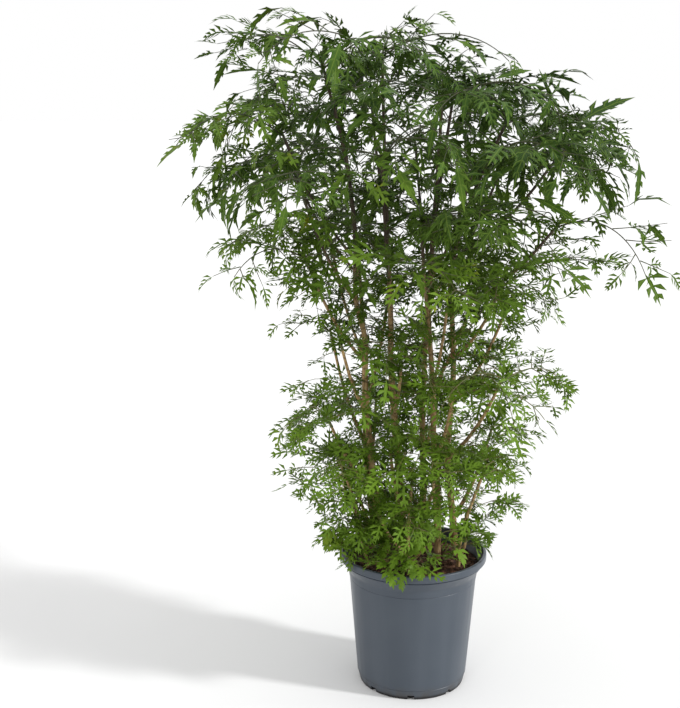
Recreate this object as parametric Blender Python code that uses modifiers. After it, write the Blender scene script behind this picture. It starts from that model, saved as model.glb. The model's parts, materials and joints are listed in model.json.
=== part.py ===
# Potted ming aralia: a tapered plastic pot filled with bark soil, nine woody stems with
# their limbs, and a spray of deeply cut compound leaves at the tip of each stem and limb.
# Metres, +Z up. The origin is the middle of the pot's underside, and the front faces -Y.

import math
import random

import bmesh
import bpy
from mathutils import Matrix, Vector
from mathutils.bvhtree import BVHTree

# Clearance between neighbouring solids, and how near two corners count as one
GAP = 0.0003
WELD = 0.00002

# Pot: a straight tapered wall between a tapered foot and a flared collar with a square lip
POT_HEIGHT = 0.225
POT_RIM_RADIUS = 0.120
POT_WALL = 0.0018
POT_FLOOR = 0.004
POT_STEPS = 32
WALL_LOW_RADIUS = 0.0889
WALL_HIGH_RADIUS = 0.1045
LIP_HEIGHT = 0.0125
LIP_WIDTH = 0.0048
LIP_ROUND = 0.0020
COLLAR_RADIUS = 0.1168
COLLAR_BOTTOM = 0.194
RING_HEIGHT = 0.182
RING_STEP = 0.0006
FOOT_RADIUS = 0.0858
FOOT_HEIGHT = 0.0165
FOOT_STEP = 0.0008
DRAIN_COUNT = 8
DRAIN_WIDTH = 0.011
DRAIN_HEIGHT = 0.008
DRAIN_DEPTH = 0.014

# Soil
SOIL_TOP = 0.203
SOIL_MOUND = 0.004
SOIL_BUMP = 0.0020
SOIL_WAVES = (71.0, 83.0, 140.0)
SOIL_SHIFTS = (1.3, -0.6)
FINE_WAVE = 0.6
SOIL_RINGS = (0.0, 0.052)
STEM_FOOT = 0.160
HOLE_SIDES = 8

# Wood
TRUNK_RESOLUTION = 1
LIMB_RESOLUTION = 0
LIMB_POINTS = 4
TIP_RADIUS = 0.0022
LIMB_SHARE = 0.62
LIMB_BEND = (0.62, 0.62, 0.40)
STRAIGHT_SHARE = 0.1

# Buds, which carry the fronds of a spray
BUD_LENGTH = 0.020
BUD_SIDES = 4
BUD_SWELL = 1.25
BUD_TAPER = 0.55
BUD_LOW_SHARE = 0.22
BUD_USED_SHARE = 0.62

# Fronds, whose length and number grow with the height of their spray
BLADE_THICKNESS = 0.0008
STALK_HALF_WIDTH = 0.0011
STALK_SINK = 0.0006
LOW_FROND = 0.130
HIGH_FROND = 0.290
LOW_LEAF_HEIGHT = 0.25
HIGH_LEAF_HEIGHT = 0.80
LARGE_LEAF_HEIGHT = 0.42
OUTWARD_GAIN = 0.10
RACHIS_STEPS = 24

# How a frond is drawn: angles in degrees, and what is added near the top of the crown
FROND_SPREAD = {
    "length": (0.88, 1.08),
    "rise": (12.0, 42.0),
    "fall": (-84.0, -46.0),
    "bend": (1.2, 1.7),
    "roll": (-38.0, 38.0),
    "droop": (0.8, 1.7),
    "pinna_length": (0.88, 1.10),
    "pinna_angle": (-5.0, 5.0),
}
TOP_START = 0.80
TOP_HEIGHT = 0.15
TOP_RISE = 26.0
TOP_RISE_SPREAD = (0.3, 1.2)
TOP_FALL = 8.0

# How a clear place is found for each frond
CLEAR_THICKNESS = 0.0020
FROND_MIDDLE = 0.65
TRIES = 300
TRY_SHRINK = 0.30
CHOICES = 6
SEED = 41

# Each stem: radius at the soil, then the points of its trunk above its foot, then its limbs.
# A limb is (share of the trunk's length where it leaves, tip). The trunk's tip and each
# limb's tip carry a spray.
STEMS = {
    "left": {
        "radius": 0.0066,
        "trunk": [(-0.045, -0.015, 0.213), (-0.058, -0.018, 0.300), (-0.069, -0.020, 0.390),
                  (-0.079, -0.016, 0.500), (-0.080, -0.012, 0.580), (-0.094, -0.012, 0.640),
                  (-0.097, -0.016, 0.760), (-0.112, -0.024, 0.870), (-0.140, -0.028, 0.982)],
        "limbs": [(0.66, (-0.205, 0.004, 0.886)), (0.58, (-0.165, -0.100, 0.800)),
                  (0.46, (-0.168, -0.030, 0.700)), (0.36, (-0.112, -0.074, 0.575)),
                  (0.20, (-0.132, -0.030, 0.440))],
    },
    "middle": {
        "radius": 0.0072,
        "trunk": [(-0.015, 0.012, 0.213), (-0.020, 0.012, 0.310), (-0.031, 0.014, 0.420),
                  (-0.039, 0.018, 0.530), (-0.041, 0.020, 0.630), (-0.047, 0.016, 0.740),
                  (-0.052, 0.012, 0.870), (-0.056, 0.006, 1.000)],
        "limbs": [(0.72, (-0.075, 0.075, 0.945)), (0.60, (-0.052, -0.105, 0.855)),
                  (0.48, (-0.040, -0.085, 0.700)), (0.34, (-0.022, -0.066, 0.540)),
                  (0.14, (-0.036, -0.066, 0.400))],
    },
    "centre": {
        "radius": 0.0058,
        "trunk": [(0.040, 0.002, 0.213), (0.040, 0.000, 0.300), (0.032, -0.003, 0.390),
                  (0.028, -0.004, 0.500), (0.020, -0.008, 0.620), (0.024, -0.020, 0.740),
                  (0.030, -0.034, 0.850), (0.034, -0.046, 0.935)],
        "limbs": [(0.66, (0.078, -0.120, 0.850)), (0.54, (0.006, -0.140, 0.770)),
                  (0.44, (0.046, -0.094, 0.640)), (0.28, (0.058, -0.076, 0.500)),
                  (0.10, (0.030, -0.070, 0.370))],
    },
    "right": {
        "radius": 0.0064,
        "trunk": [(0.070, 0.036, 0.213), (0.063, 0.031, 0.290), (0.054, 0.027, 0.380),
                  (0.061, 0.022, 0.510), (0.057, 0.018, 0.610), (0.054, 0.014, 0.680),
                  (0.080, 0.006, 0.790), (0.128, -0.008, 0.905)],
        "limbs": [(0.72, (0.205, 0.036, 0.845)), (0.60, (0.204, -0.034, 0.752)),
                  (0.50, (0.124, -0.090, 0.670)), (0.40, (0.140, 0.034, 0.610)),
                  (0.28, (0.130, -0.036, 0.510)), (0.14, (0.122, 0.034, 0.410))],
    },
    "back": {
        "radius": 0.0060,
        "trunk": [(0.013, 0.060, 0.213), (0.016, 0.064, 0.310), (0.013, 0.068, 0.430),
                  (0.016, 0.072, 0.560), (0.022, 0.076, 0.680), (0.034, 0.082, 0.800),
                  (0.052, 0.092, 0.935)],
        "limbs": [(0.66, (-0.004, 0.146, 0.865)), (0.60, (0.132, 0.116, 0.830)),
                  (0.46, (0.028, 0.150, 0.715)), (0.38, (0.098, 0.100, 0.640)),
                  (0.26, (0.046, 0.118, 0.500)), (0.12, (0.050, 0.100, 0.360))],
    },
    "left_back": {
        "radius": 0.0052,
        "trunk": [(-0.060, 0.036, 0.213), (-0.074, 0.040, 0.310), (-0.082, 0.046, 0.430),
                  (-0.084, 0.052, 0.560), (-0.094, 0.058, 0.690), (-0.106, 0.066, 0.800),
                  (-0.122, 0.078, 0.905)],
        "limbs": [(0.68, (-0.196, 0.096, 0.820)), (0.50, (-0.140, 0.118, 0.700)),
                  (0.38, (-0.046, 0.104, 0.625)), (0.30, (-0.136, 0.050, 0.565)),
                  (0.20, (-0.066, 0.106, 0.440)), (0.10, (-0.112, 0.066, 0.360))],
    },
    "left_shoot": {
        "radius": 0.0034,
        "trunk": [(-0.074, -0.030, 0.213), (-0.083, -0.033, 0.255), (-0.093, -0.036, 0.315),
                  (-0.118, -0.042, 0.385)],
        "limbs": [(0.35, (-0.098, 0.000, 0.300))],
    },
    "front_shoot": {
        "radius": 0.0034,
        "trunk": [(-0.004, -0.060, 0.213), (-0.008, -0.064, 0.260), (-0.004, -0.074, 0.350)],
        "limbs": [(0.34, (0.020, -0.088, 0.268)), (0.40, (-0.050, -0.078, 0.300))],
    },
    "right_shoot": {
        "radius": 0.0036,
        "trunk": [(0.074, -0.022, 0.213), (0.080, -0.024, 0.270), (0.112, -0.034, 0.375)],
        "limbs": [(0.26, (0.084, -0.054, 0.262))],
    },
}

# Pinnae of a frond, as shares of its length: place on the rachis, length and angle forwards.
LARGE_PINNAE = ((0.38, 0.42, 62.0), (0.62, 0.31, 54.0))
SMALL_PINNAE = ((0.42, 0.44, 58.0),)
PINNA_BASE = 0.012
TERMINAL_SIDE = (0.84, 0.045)

# Leaflets cut to a pinna's rib, as shares of its length: along it, and across it forwards
FULL_PINNA = ((0.52, -0.25), (0.50, -0.05), (1.00, 0.00), (0.44, 0.06), (0.52, 0.25))
LEAN_PINNA = ((0.52, -0.28), (0.50, -0.06), (1.00, 0.03))

# How far the foliage reaches to the left and the right of the pot's axis at each height
OUTLINE = ((0.20, 0.120, 0.130), (0.27, 0.130, 0.145), (0.32, 0.200, 0.180), (0.43, 0.215, 0.215),
           (0.49, 0.180, 0.235), (0.56, 0.190, 0.215), (0.64, 0.240, 0.255), (0.69, 0.320, 0.380),
           (0.77, 0.310, 0.400), (0.83, 0.360, 0.340), (0.90, 0.380, 0.300), (0.96, 0.340, 0.260),
           (1.02, 0.300, 0.150), (1.06, 0.250, 0.020), (1.12, 0.180, -0.050))
DEPTH_SHARE = 0.95
OUTLINE_SLACK = 1.08


def clear_scene():
    for old in list(bpy.data.objects):
        bpy.data.objects.remove(old, do_unlink=True)


def new_collection(name, parent=None):
    group = bpy.data.collections.new(name)
    (parent or bpy.context.scene.collection).children.link(group)
    return group


def plain_material(name, colour, roughness):
    material = bpy.data.materials.new(name)
    material.use_nodes = True
    shader = material.node_tree.nodes["Principled BSDF"]
    shader.inputs["Base Color"].default_value = (*colour, 1.0)
    shader.inputs["Roughness"].default_value = roughness
    shader.inputs["Metallic"].default_value = 0.0
    material.diffuse_color = (*colour, 1.0)
    return material


def add_object(name, mesh, group, material):
    made = bpy.data.objects.new(name, mesh)
    group.objects.link(made)
    mesh.materials.clear()
    mesh.materials.append(material)
    return made


# The object's shape with its modifiers applied, kept as its own mesh
def settle(target):
    bpy.context.view_layer.update()
    evaluated = target.evaluated_get(bpy.context.evaluated_depsgraph_get())
    shape = bpy.data.meshes.new_from_object(evaluated)
    target.modifiers.clear()
    target.data = shape
    return target


def combine(target, group, operation):
    joint = target.modifiers.new(operation.lower(), "BOOLEAN")
    joint.operation = operation
    joint.operand_type = "COLLECTION"
    joint.collection = group
    joint.solver = "EXACT"
    return joint


# Joins every object of the group to the target in one body, then removes the group
def fuse(target, group):
    combine(target, group, "UNION")
    settle(target)
    for piece in list(group.objects):
        bpy.data.objects.remove(piece, do_unlink=True)
    bpy.data.collections.remove(group)
    return target


def keep_as_cutter(cutter, group):
    cutter.hide_render = True
    cutter.display_type = "WIRE"
    for holder in list(cutter.users_collection):
        holder.objects.unlink(cutter)
    group.objects.link(cutter)


def turned(name, profile, group, material):
    outline = bpy.data.meshes.new(name)
    edges = [(i, i + 1) for i in range(len(profile) - 1)]
    outline.from_pydata([(r, 0.0, z) for r, z in profile], edges, [])
    made = add_object(name, outline, group, material)
    screw = made.modifiers.new("turn", "SCREW")
    screw.steps = POT_STEPS
    screw.render_steps = POT_STEPS
    screw.use_merge_vertices = True
    screw.merge_threshold = WELD
    return made


def wall_radius(height):
    return WALL_LOW_RADIUS + (WALL_HIGH_RADIUS - WALL_LOW_RADIUS) * height / COLLAR_BOTTOM


# The pot's inner wall from the floor up to the lip, with room left inside it
def inner_wall(room):
    lip_bottom = POT_HEIGHT - LIP_HEIGHT
    return [
        (FOOT_RADIUS - POT_WALL - room, POT_FLOOR),
        (wall_radius(FOOT_HEIGHT) - FOOT_STEP - POT_WALL - room, FOOT_HEIGHT),
        (wall_radius(COLLAR_BOTTOM) - POT_WALL - room, COLLAR_BOTTOM),
        (COLLAR_RADIUS - POT_WALL - room, lip_bottom),
    ]


def pot_profile():
    lip_bottom = POT_HEIGHT - LIP_HEIGHT
    outer = [
        (POT_RIM_RADIUS - LIP_WIDTH, POT_HEIGHT),
        (POT_RIM_RADIUS - LIP_ROUND, POT_HEIGHT),
        (POT_RIM_RADIUS, POT_HEIGHT - LIP_ROUND),
        (POT_RIM_RADIUS, lip_bottom + RING_STEP),
        (COLLAR_RADIUS, lip_bottom),
        (wall_radius(COLLAR_BOTTOM) + RING_STEP, COLLAR_BOTTOM),
        (wall_radius(RING_HEIGHT) + RING_STEP, RING_HEIGHT),
        (wall_radius(RING_HEIGHT), RING_HEIGHT - RING_STEP),
        (wall_radius(FOOT_HEIGHT), FOOT_HEIGHT),
        (wall_radius(FOOT_HEIGHT) - FOOT_STEP, FOOT_HEIGHT - FOOT_STEP),
        (FOOT_RADIUS, 0.0),
    ]
    return [(0.0, POT_FLOOR)] + inner_wall(0.0) + outer + [(0.0, 0.0)]


def make_pot(group, cutters, material):
    drains = new_collection("drains", cutters)
    for i in range(DRAIN_COUNT):
        angle = math.tau * i / DRAIN_COUNT - math.pi / 2
        bpy.ops.mesh.primitive_cube_add(size=1.0)
        cutter = bpy.context.object
        cutter.name = f"drain_cutter_{i + 1}"
        cutter.scale = (DRAIN_DEPTH, DRAIN_WIDTH, 2 * DRAIN_HEIGHT)
        cutter.location = (FOOT_RADIUS * math.cos(angle), FOOT_RADIUS * math.sin(angle), 0.0)
        cutter.rotation_euler = (0.0, 0.0, angle)
        keep_as_cutter(cutter, drains)
    pot = turned("pot", pot_profile(), group, material)
    combine(pot, drains, "DIFFERENCE")
    return pot


def soil_height(x, y):
    reach = math.hypot(x, y) / WALL_HIGH_RADIUS
    mound = SOIL_MOUND * (1.0 - reach * reach)
    wide = (math.sin(SOIL_WAVES[0] * x + SOIL_SHIFTS[0])
            * math.cos(SOIL_WAVES[1] * y + SOIL_SHIFTS[1]))
    fine = FINE_WAVE * math.sin(SOIL_WAVES[2] * (x - y))
    return SOIL_TOP + mound + SOIL_BUMP * (wide + fine)


def make_soil(group, cutters, material):
    floor_edge, foot_edge, collar_edge, lip_edge = inner_wall(GAP)
    flare = (SOIL_TOP - collar_edge[1]) / (lip_edge[1] - collar_edge[1])
    top_edge = collar_edge[0] + (lip_edge[0] - collar_edge[0]) * flare
    floor = POT_FLOOR + GAP
    profile = [(radius, SOIL_TOP) for radius in SOIL_RINGS]
    profile += [(top_edge, SOIL_TOP), collar_edge, foot_edge, (floor_edge[0], floor), (0.0, floor)]
    soil = settle(turned("soil", profile, group, material))
    for point in soil.data.vertices:
        inside = math.hypot(point.co.x, point.co.y) < top_edge - GAP
        if inside and point.co.z > SOIL_TOP - GAP:
            point.co.z = soil_height(point.co.x, point.co.y)
    holes = new_collection("stem_holes", cutters)
    for name, stem in STEMS.items():
        x, y, _ = stem["trunk"][0]
        top = SOIL_TOP + 2 * SOIL_MOUND + 2 * SOIL_BUMP
        bottom = STEM_FOOT - GAP
        radius = (stem["radius"] + GAP) / math.cos(math.pi / HOLE_SIDES)
        bpy.ops.mesh.primitive_cylinder_add(vertices=HOLE_SIDES, radius=radius, depth=top - bottom,
                                            location=(x, y, (top + bottom) / 2))
        cutter = bpy.context.object
        cutter.name = f"hole_cutter_{name}"
        keep_as_cutter(cutter, holes)
    combine(soil, holes, "DIFFERENCE")
    return soil


# A tapered tube along a path, made a mesh with its caps welded
def tube(name, points, radii, resolution, group, material):
    curve = bpy.data.curves.new(name, "CURVE")
    curve.dimensions = "3D"
    curve.bevel_depth = 1.0
    curve.bevel_resolution = resolution
    curve.use_fill_caps = True
    spline = curve.splines.new("POLY")
    spline.points.add(len(points) - 1)
    for knot, place, radius in zip(spline.points, points, radii):
        knot.co = (*place, 1.0)
        knot.radius = radius
    guide = bpy.data.objects.new(name + "_guide", curve)
    group.objects.link(guide)
    bpy.context.view_layer.update()
    evaluated = guide.evaluated_get(bpy.context.evaluated_depsgraph_get())
    mesh = bpy.data.meshes.new_from_object(evaluated)
    bpy.data.objects.remove(guide, do_unlink=True)
    shell = bmesh.new()
    shell.from_mesh(mesh)
    bmesh.ops.remove_doubles(shell, verts=shell.verts, dist=WELD)
    bmesh.ops.recalc_face_normals(shell, faces=shell.faces)
    shell.to_mesh(mesh)
    shell.free()
    return add_object(name, mesh, group, material)


def point_along(path, share):
    lengths = [(b - a).length for a, b in zip(path, path[1:])]
    left = share * sum(lengths)
    for a, b, span in zip(path, path[1:], lengths):
        if left <= span:
            return a.lerp(b, left / span)
        left -= span
    return path[-1]


# A limb leaves flat and turns up towards its tip
def limb_path(start, tip):
    reach = tip - start
    bend = start + Vector(LIMB_BEND) * reach
    points = []
    for i in range(LIMB_POINTS):
        t = i / (LIMB_POINTS - 1)
        points.append(start.lerp(bend, t).lerp(bend.lerp(tip, t), t))
    return points


# The paths and radii of a stem: its trunk first, then its limbs
def stem_paths(stem):
    foot = Vector(stem["trunk"][0])
    foot.z = STEM_FOOT
    trunk = [foot] + [Vector(point) for point in stem["trunk"]]
    shares = [i / (len(trunk) - 1) for i in range(len(trunk))]
    radii = [stem["radius"] + (TIP_RADIUS - stem["radius"])
             * max(0.0, share - STRAIGHT_SHARE) / (1.0 - STRAIGHT_SHARE) for share in shares]
    paths = [(trunk, radii)]
    for share, tip in stem["limbs"]:
        start = point_along(trunk, share)
        base = LIMB_SHARE * (radii[0] + (radii[-1] - radii[0]) * share)
        points = limb_path(start, Vector(tip))
        taper = [base + (TIP_RADIUS - base) * i / (LIMB_POINTS - 1) for i in range(LIMB_POINTS)]
        paths.append((points, taper))
    return paths


def make_stem(name, paths, group, material):
    limbs = new_collection(name + "_limbs")
    for i, (points, radii) in enumerate(paths[1:]):
        tube(f"{name}_limb_{i + 1}", points, radii, LIMB_RESOLUTION, limbs, material)
    trunk = tube(name, *paths[0], TRUNK_RESOLUTION, group, material)
    return fuse(trunk, limbs)


# The tips and notches of one side's pinnae, as shares of the frond's length
def frond_side(pinnae, leaflets, stalk, draw):
    sides = []
    for place, length, angle in pinnae:
        length *= draw.uniform(*FROND_SPREAD["pinna_length"])
        lean = math.radians(angle + draw.uniform(*FROND_SPREAD["pinna_angle"]))
        along = (math.cos(lean), math.sin(lean))
        sides.append([(place + length * (out * along[0] + forward * along[1]),
                       stalk + length * (out * along[1] - forward * along[0]))
                      for out, forward in leaflets])
    return sides


# Place on the frond's arching midline at a share of its length, and its sideways direction
def rachis(frond, share):
    place = frond["root"].copy()
    level = frond["heading"]
    step = frond["length"] * share / RACHIS_STEPS
    for i in range(RACHIS_STEPS):
        at = share * (i + 0.5) / RACHIS_STEPS
        rise = frond["rise"] + (frond["fall"] - frond["rise"]) * at ** frond["bend"]
        place += step * (math.cos(rise) * level + math.sin(rise) * Vector((0.0, 0.0, 1.0)))
    rise = frond["rise"] + (frond["fall"] - frond["rise"]) * share ** frond["bend"]
    forward = math.cos(rise) * level + math.sin(rise) * Vector((0.0, 0.0, 1.0))
    across = Vector((-level.y, level.x, 0.0))
    up = forward.cross(across)
    return place, math.cos(frond["roll"]) * across + math.sin(frond["roll"]) * up


# A flat outline's point on the arched frond, whose pinnae sag towards their tips
def bend_onto(frond, share, width):
    place, side = rachis(frond, share)
    out = width * frond["length"]
    sag = frond["droop"] * out * out / frond["length"]
    return place + side * out - Vector((0.0, 0.0, sag))


# The frond's cut blade: its midrib, pinnae and end leaflets laid flat and split in triangles,
# then bent and given their thickness
def frond_mesh(frond, thickness):
    blade = bmesh.new()
    stalk = frond["stalk"]

    def corner(share, width):
        return blade.verts.new((share, width, 0.0))

    left, right = corner(0.0, stalk), corner(0.0, -stalk)
    for i, (place, _, _) in enumerate(frond["pinnae"]):
        for edge in (place - PINNA_BASE, place + PINNA_BASE):
            last = (left, right)
            left, right = corner(edge, stalk), corner(edge, -stalk)
            blade.faces.new((last[1], right, left, last[0]))
        blade.faces.new([last[0]] + [left] + [corner(s, w) for s, w in reversed(frond["left"][i])])
        blade.faces.new([right, last[1]] + [corner(s, -w) for s, w in frond["right"][i]])
    place, width = TERMINAL_SIDE
    blade.faces.new([right, corner(place, -width), corner(1.0, 0.0), corner(place, width), left])
    blade.normal_update()
    bmesh.ops.triangulate(blade, faces=blade.faces[:])
    for point in blade.verts:
        point.co = bend_onto(frond, point.co.x, point.co.y)
    blade.normal_update()
    for point in blade.verts:
        point.co += point.normal * thickness / 2
    bmesh.ops.solidify(blade, geom=blade.faces[:], thickness=thickness)
    bmesh.ops.triangulate(blade, faces=blade.faces[:])
    bmesh.ops.recalc_face_normals(blade, faces=blade.faces)
    return blade


def tree_of(shape):
    shape.verts.ensure_lookup_table()
    return BVHTree.FromBMesh(shape)


def frond_length(height):
    share = (height - LOW_LEAF_HEIGHT) / (HIGH_LEAF_HEIGHT - LOW_LEAF_HEIGHT)
    return LOW_FROND + (HIGH_FROND - LOW_FROND) * min(1.0, max(0.0, share))


def frond_count(height):
    return 3 if height > LARGE_LEAF_HEIGHT else 2


# One try at a frond: which way it heads, how it rises and falls, and its cut outline
def draw_frond(spray, index, shrink, draw):
    tip, axis = spray["tip"], spray["axis"]
    outward = math.atan2(tip.y, tip.x)
    fan = math.tau / spray["count"]
    turn = outward + fan * index + draw.uniform(-0.5, 0.5) * fan
    top = min(1.0, max(0.0, (tip.z - TOP_START) / TOP_HEIGHT))
    rise = draw.uniform(*FROND_SPREAD["rise"]) + TOP_RISE * top * draw.uniform(*TOP_RISE_SPREAD)
    fall = draw.uniform(*FROND_SPREAD["fall"]) + TOP_FALL * top
    gain = 1.0 - OUTWARD_GAIN * (1.0 - math.cos(turn - outward))
    length = shrink * gain * spray["length"] * draw.uniform(*FROND_SPREAD["length"])
    large = tip.z > LARGE_LEAF_HEIGHT
    pinnae = LARGE_PINNAE if large else SMALL_PINNAE
    leaflets = LEAN_PINNA if large else FULL_PINNA
    stalk = STALK_HALF_WIDTH / length
    up_bud = BUD_LOW_SHARE + BUD_USED_SHARE * (index + 0.5) / spray["count"]
    heading = Vector((math.cos(turn), math.sin(turn), 0.0))
    return {
        "root": tip + axis * (GAP + BUD_LENGTH * up_bud) - heading * STALK_SINK,
        "heading": heading,
        "rise": math.radians(rise),
        "fall": math.radians(fall),
        "bend": draw.uniform(*FROND_SPREAD["bend"]),
        "roll": math.radians(draw.uniform(*FROND_SPREAD["roll"])),
        "droop": draw.uniform(*FROND_SPREAD["droop"]),
        "length": length,
        "stalk": stalk,
        "pinnae": pinnae,
        "left": frond_side(pinnae, leaflets, stalk, draw),
        "right": frond_side(pinnae, leaflets, stalk, draw),
    }


def outline_at(height):
    for low, high in zip(OUTLINE, OUTLINE[1:]):
        if height <= high[0]:
            share = max(0.0, (height - low[0]) / (high[0] - low[0]))
            return tuple(a + (b - a) * share for a, b in zip(low[1:], high[1:]))
    return None


def inside_outline(point):
    reach = outline_at(point.z)
    if reach is None:
        return False
    middle = (reach[1] - reach[0]) / 2
    half = (reach[1] + reach[0]) / 2
    return math.hypot((point.x - middle) / half, point.y / (half * DEPTH_SHARE)) < OUTLINE_SLACK


# Of the first few clear tries, keeps the one whose middle lies furthest from other fronds
def place_frond(spray, index, obstacles, middles):
    draw = random.Random(f"{SEED} {spray['name']} {index}")
    choices = []
    for attempt in range(TRIES):
        frond = draw_frond(spray, index, 1.0 - TRY_SHRINK * attempt / TRIES, draw)
        trial = frond_mesh(frond, CLEAR_THICKNESS)
        fits = all(inside_outline(point.co) for point in trial.verts)
        tree = tree_of(trial)
        trial.free()
        if not fits or any(tree.overlap(other) for other in obstacles):
            continue
        middle = bend_onto(frond, FROND_MIDDLE, 0.0)
        room = min((middle - other).length for other in middles)
        choices.append((room, len(choices), frond, tree, middle))
        if len(choices) == CHOICES:
            break
    if not choices:
        return None
    _, _, frond, tree, middle = max(choices)
    obstacles.append(tree)
    middles.append(middle)
    return frond


def bud_mesh(spray):
    bud = bmesh.new()
    middle = spray["tip"] + spray["axis"] * (GAP + BUD_LENGTH / 2)
    turn = Vector((0.0, 0.0, 1.0)).rotation_difference(spray["axis"]).to_matrix().to_4x4()
    bmesh.ops.create_cone(bud, cap_ends=True, segments=BUD_SIDES, radius1=spray["radius"],
                          radius2=spray["radius"] * BUD_TAPER, depth=BUD_LENGTH,
                          matrix=Matrix.Translation(middle) @ turn)
    return bud


def as_mesh(shape, name):
    mesh = bpy.data.meshes.new(name)
    shape.to_mesh(mesh)
    shape.free()
    return mesh


def make_spray(spray, fronds, group, material):
    blades = new_collection(spray["name"] + "_blades")
    for i, frond in enumerate(fronds):
        mesh = as_mesh(frond_mesh(frond, BLADE_THICKNESS), f"{spray['name']}_blade_{i + 1}")
        add_object(mesh.name, mesh, blades, material)
    bud = add_object(spray["name"], as_mesh(bud_mesh(spray), spray["name"]), group, material)
    return fuse(bud, blades)


def object_tree(made):
    bpy.context.view_layer.update()
    return BVHTree.FromObject(made, bpy.context.evaluated_depsgraph_get())


def make_sprays(paths_of, obstacles, group, material):
    sprays = []
    for stem_name, paths in paths_of.items():
        for i, (points, radii) in enumerate(paths):
            axis = (points[-1] - points[-2]).normalized()
            tip = points[-1]
            sprays.append({
                "name": f"spray_{stem_name}_{i + 1}",
                "tip": tip,
                "axis": axis,
                "radius": radii[-1] * BUD_SWELL,
                "length": frond_length(tip.z),
                "count": frond_count(tip.z),
            })
    for spray in sprays:
        bud = bud_mesh(spray)
        obstacles.append(tree_of(bud))
        spray["bud_tree"] = obstacles[-1]
        bud.free()
    middles = [Vector((0.0, 0.0, 0.0))]
    for spray in sprays:
        others = [tree for tree in obstacles if tree is not spray["bud_tree"]]
        known = len(others)
        fronds = [place_frond(spray, i, others, middles) for i in range(spray["count"])]
        obstacles.extend(others[known:])
        kept = [frond for frond in fronds if frond]
        if len(kept) < len(fronds):
            print(spray["name"], "keeps", len(kept), "of", len(fronds), "fronds")
        make_spray(spray, kept, group, material)


def main():
    clear_scene()
    parts = new_collection("potted_ming_aralia")
    cutters = new_collection("cutters")
    plastic = plain_material("slate_plastic", (0.105, 0.125, 0.150), 0.42)
    bark_soil = plain_material("bark_soil", (0.060, 0.032, 0.020), 0.95)
    bark = plain_material("bark", (0.300, 0.200, 0.120), 0.85)
    leaf = plain_material("leaf_green", (0.070, 0.170, 0.050), 0.50)
    pot = make_pot(parts, cutters, plastic)
    soil = make_soil(parts, cutters, bark_soil)
    paths_of = {name: stem_paths(stem) for name, stem in STEMS.items()}
    stems = [make_stem("stem_" + name, paths, parts, bark) for name, paths in paths_of.items()]
    obstacles = [object_tree(made) for made in [pot, soil] + stems]
    make_sprays(paths_of, obstacles, parts, leaf)


main()
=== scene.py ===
import json
import math
import random

import bmesh
import bpy
from mathutils import Matrix, Vector, noise
from mathutils.bvhtree import BVHTree

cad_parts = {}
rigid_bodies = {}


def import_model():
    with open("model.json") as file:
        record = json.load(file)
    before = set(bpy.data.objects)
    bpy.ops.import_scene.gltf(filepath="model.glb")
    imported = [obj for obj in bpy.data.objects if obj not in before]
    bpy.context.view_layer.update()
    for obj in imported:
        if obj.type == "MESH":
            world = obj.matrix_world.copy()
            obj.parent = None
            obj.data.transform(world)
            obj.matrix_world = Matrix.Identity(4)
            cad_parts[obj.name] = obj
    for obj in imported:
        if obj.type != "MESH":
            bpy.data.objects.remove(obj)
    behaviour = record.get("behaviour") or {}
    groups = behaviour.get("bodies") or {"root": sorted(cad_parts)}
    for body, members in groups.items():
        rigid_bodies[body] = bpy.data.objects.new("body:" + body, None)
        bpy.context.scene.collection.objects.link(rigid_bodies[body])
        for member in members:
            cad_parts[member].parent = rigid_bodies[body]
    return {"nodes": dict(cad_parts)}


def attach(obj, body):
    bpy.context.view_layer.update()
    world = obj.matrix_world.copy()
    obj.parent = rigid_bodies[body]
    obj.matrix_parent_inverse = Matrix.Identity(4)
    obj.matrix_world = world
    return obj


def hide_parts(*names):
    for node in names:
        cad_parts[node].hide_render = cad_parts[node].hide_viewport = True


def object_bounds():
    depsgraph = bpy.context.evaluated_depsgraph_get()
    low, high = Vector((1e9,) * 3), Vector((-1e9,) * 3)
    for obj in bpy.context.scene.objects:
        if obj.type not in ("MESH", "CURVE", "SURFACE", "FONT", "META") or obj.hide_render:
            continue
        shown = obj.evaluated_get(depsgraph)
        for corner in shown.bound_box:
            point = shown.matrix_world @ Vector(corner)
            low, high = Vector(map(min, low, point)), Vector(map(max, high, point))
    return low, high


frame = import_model()
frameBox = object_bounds()
upward = Vector((0.0, 0.0, 1.0))


# Small helpers

def addObject(name, mesh):
    made = bpy.data.objects.new(name, mesh)
    bpy.context.scene.collection.objects.link(made)
    return made


def addNode(tree, kind, sockets=None, **settings):
    node = tree.nodes.new(kind)
    for key, value in settings.items():
        setattr(node, key, value)
    for socket, source in (sockets or {}).items():
        if isinstance(source, bpy.types.NodeSocket):
            tree.links.new(source, node.inputs[socket])
        else:
            node.inputs[socket].default_value = source
    return node


# The first socket in use, of the given name if there is one
def liveSocket(sockets, name=None):
    return next(socket for socket in sockets if socket.enabled and name in (None, socket.name))


def newTree(name, inputs):
    tree = bpy.data.node_groups.new(name, "GeometryNodeTree")
    tree.interface.new_socket("Geometry", in_out="INPUT", socket_type="NodeSocketGeometry")
    for label, kind in inputs.items():
        tree.interface.new_socket(label, in_out="INPUT", socket_type="NodeSocket" + kind)
    tree.interface.new_socket("Geometry", in_out="OUTPUT", socket_type="NodeSocketGeometry")
    return tree, addNode(tree, "NodeGroupInput").outputs


def closeTree(tree, result):
    addNode(tree, "NodeGroupOutput", {"Geometry": result})


# The object's own geometry is swapped for what its node tree makes of it
def growFrom(target, tree, values):
    modifier = target.modifiers.new("grow", "NODES")
    modifier.node_group = tree
    for item in tree.interface.items_tree:
        if item.item_type == "SOCKET" and item.in_out == "INPUT" and item.name in values:
            modifier[item.identifier] = values[item.name]
    settle(target)


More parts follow.
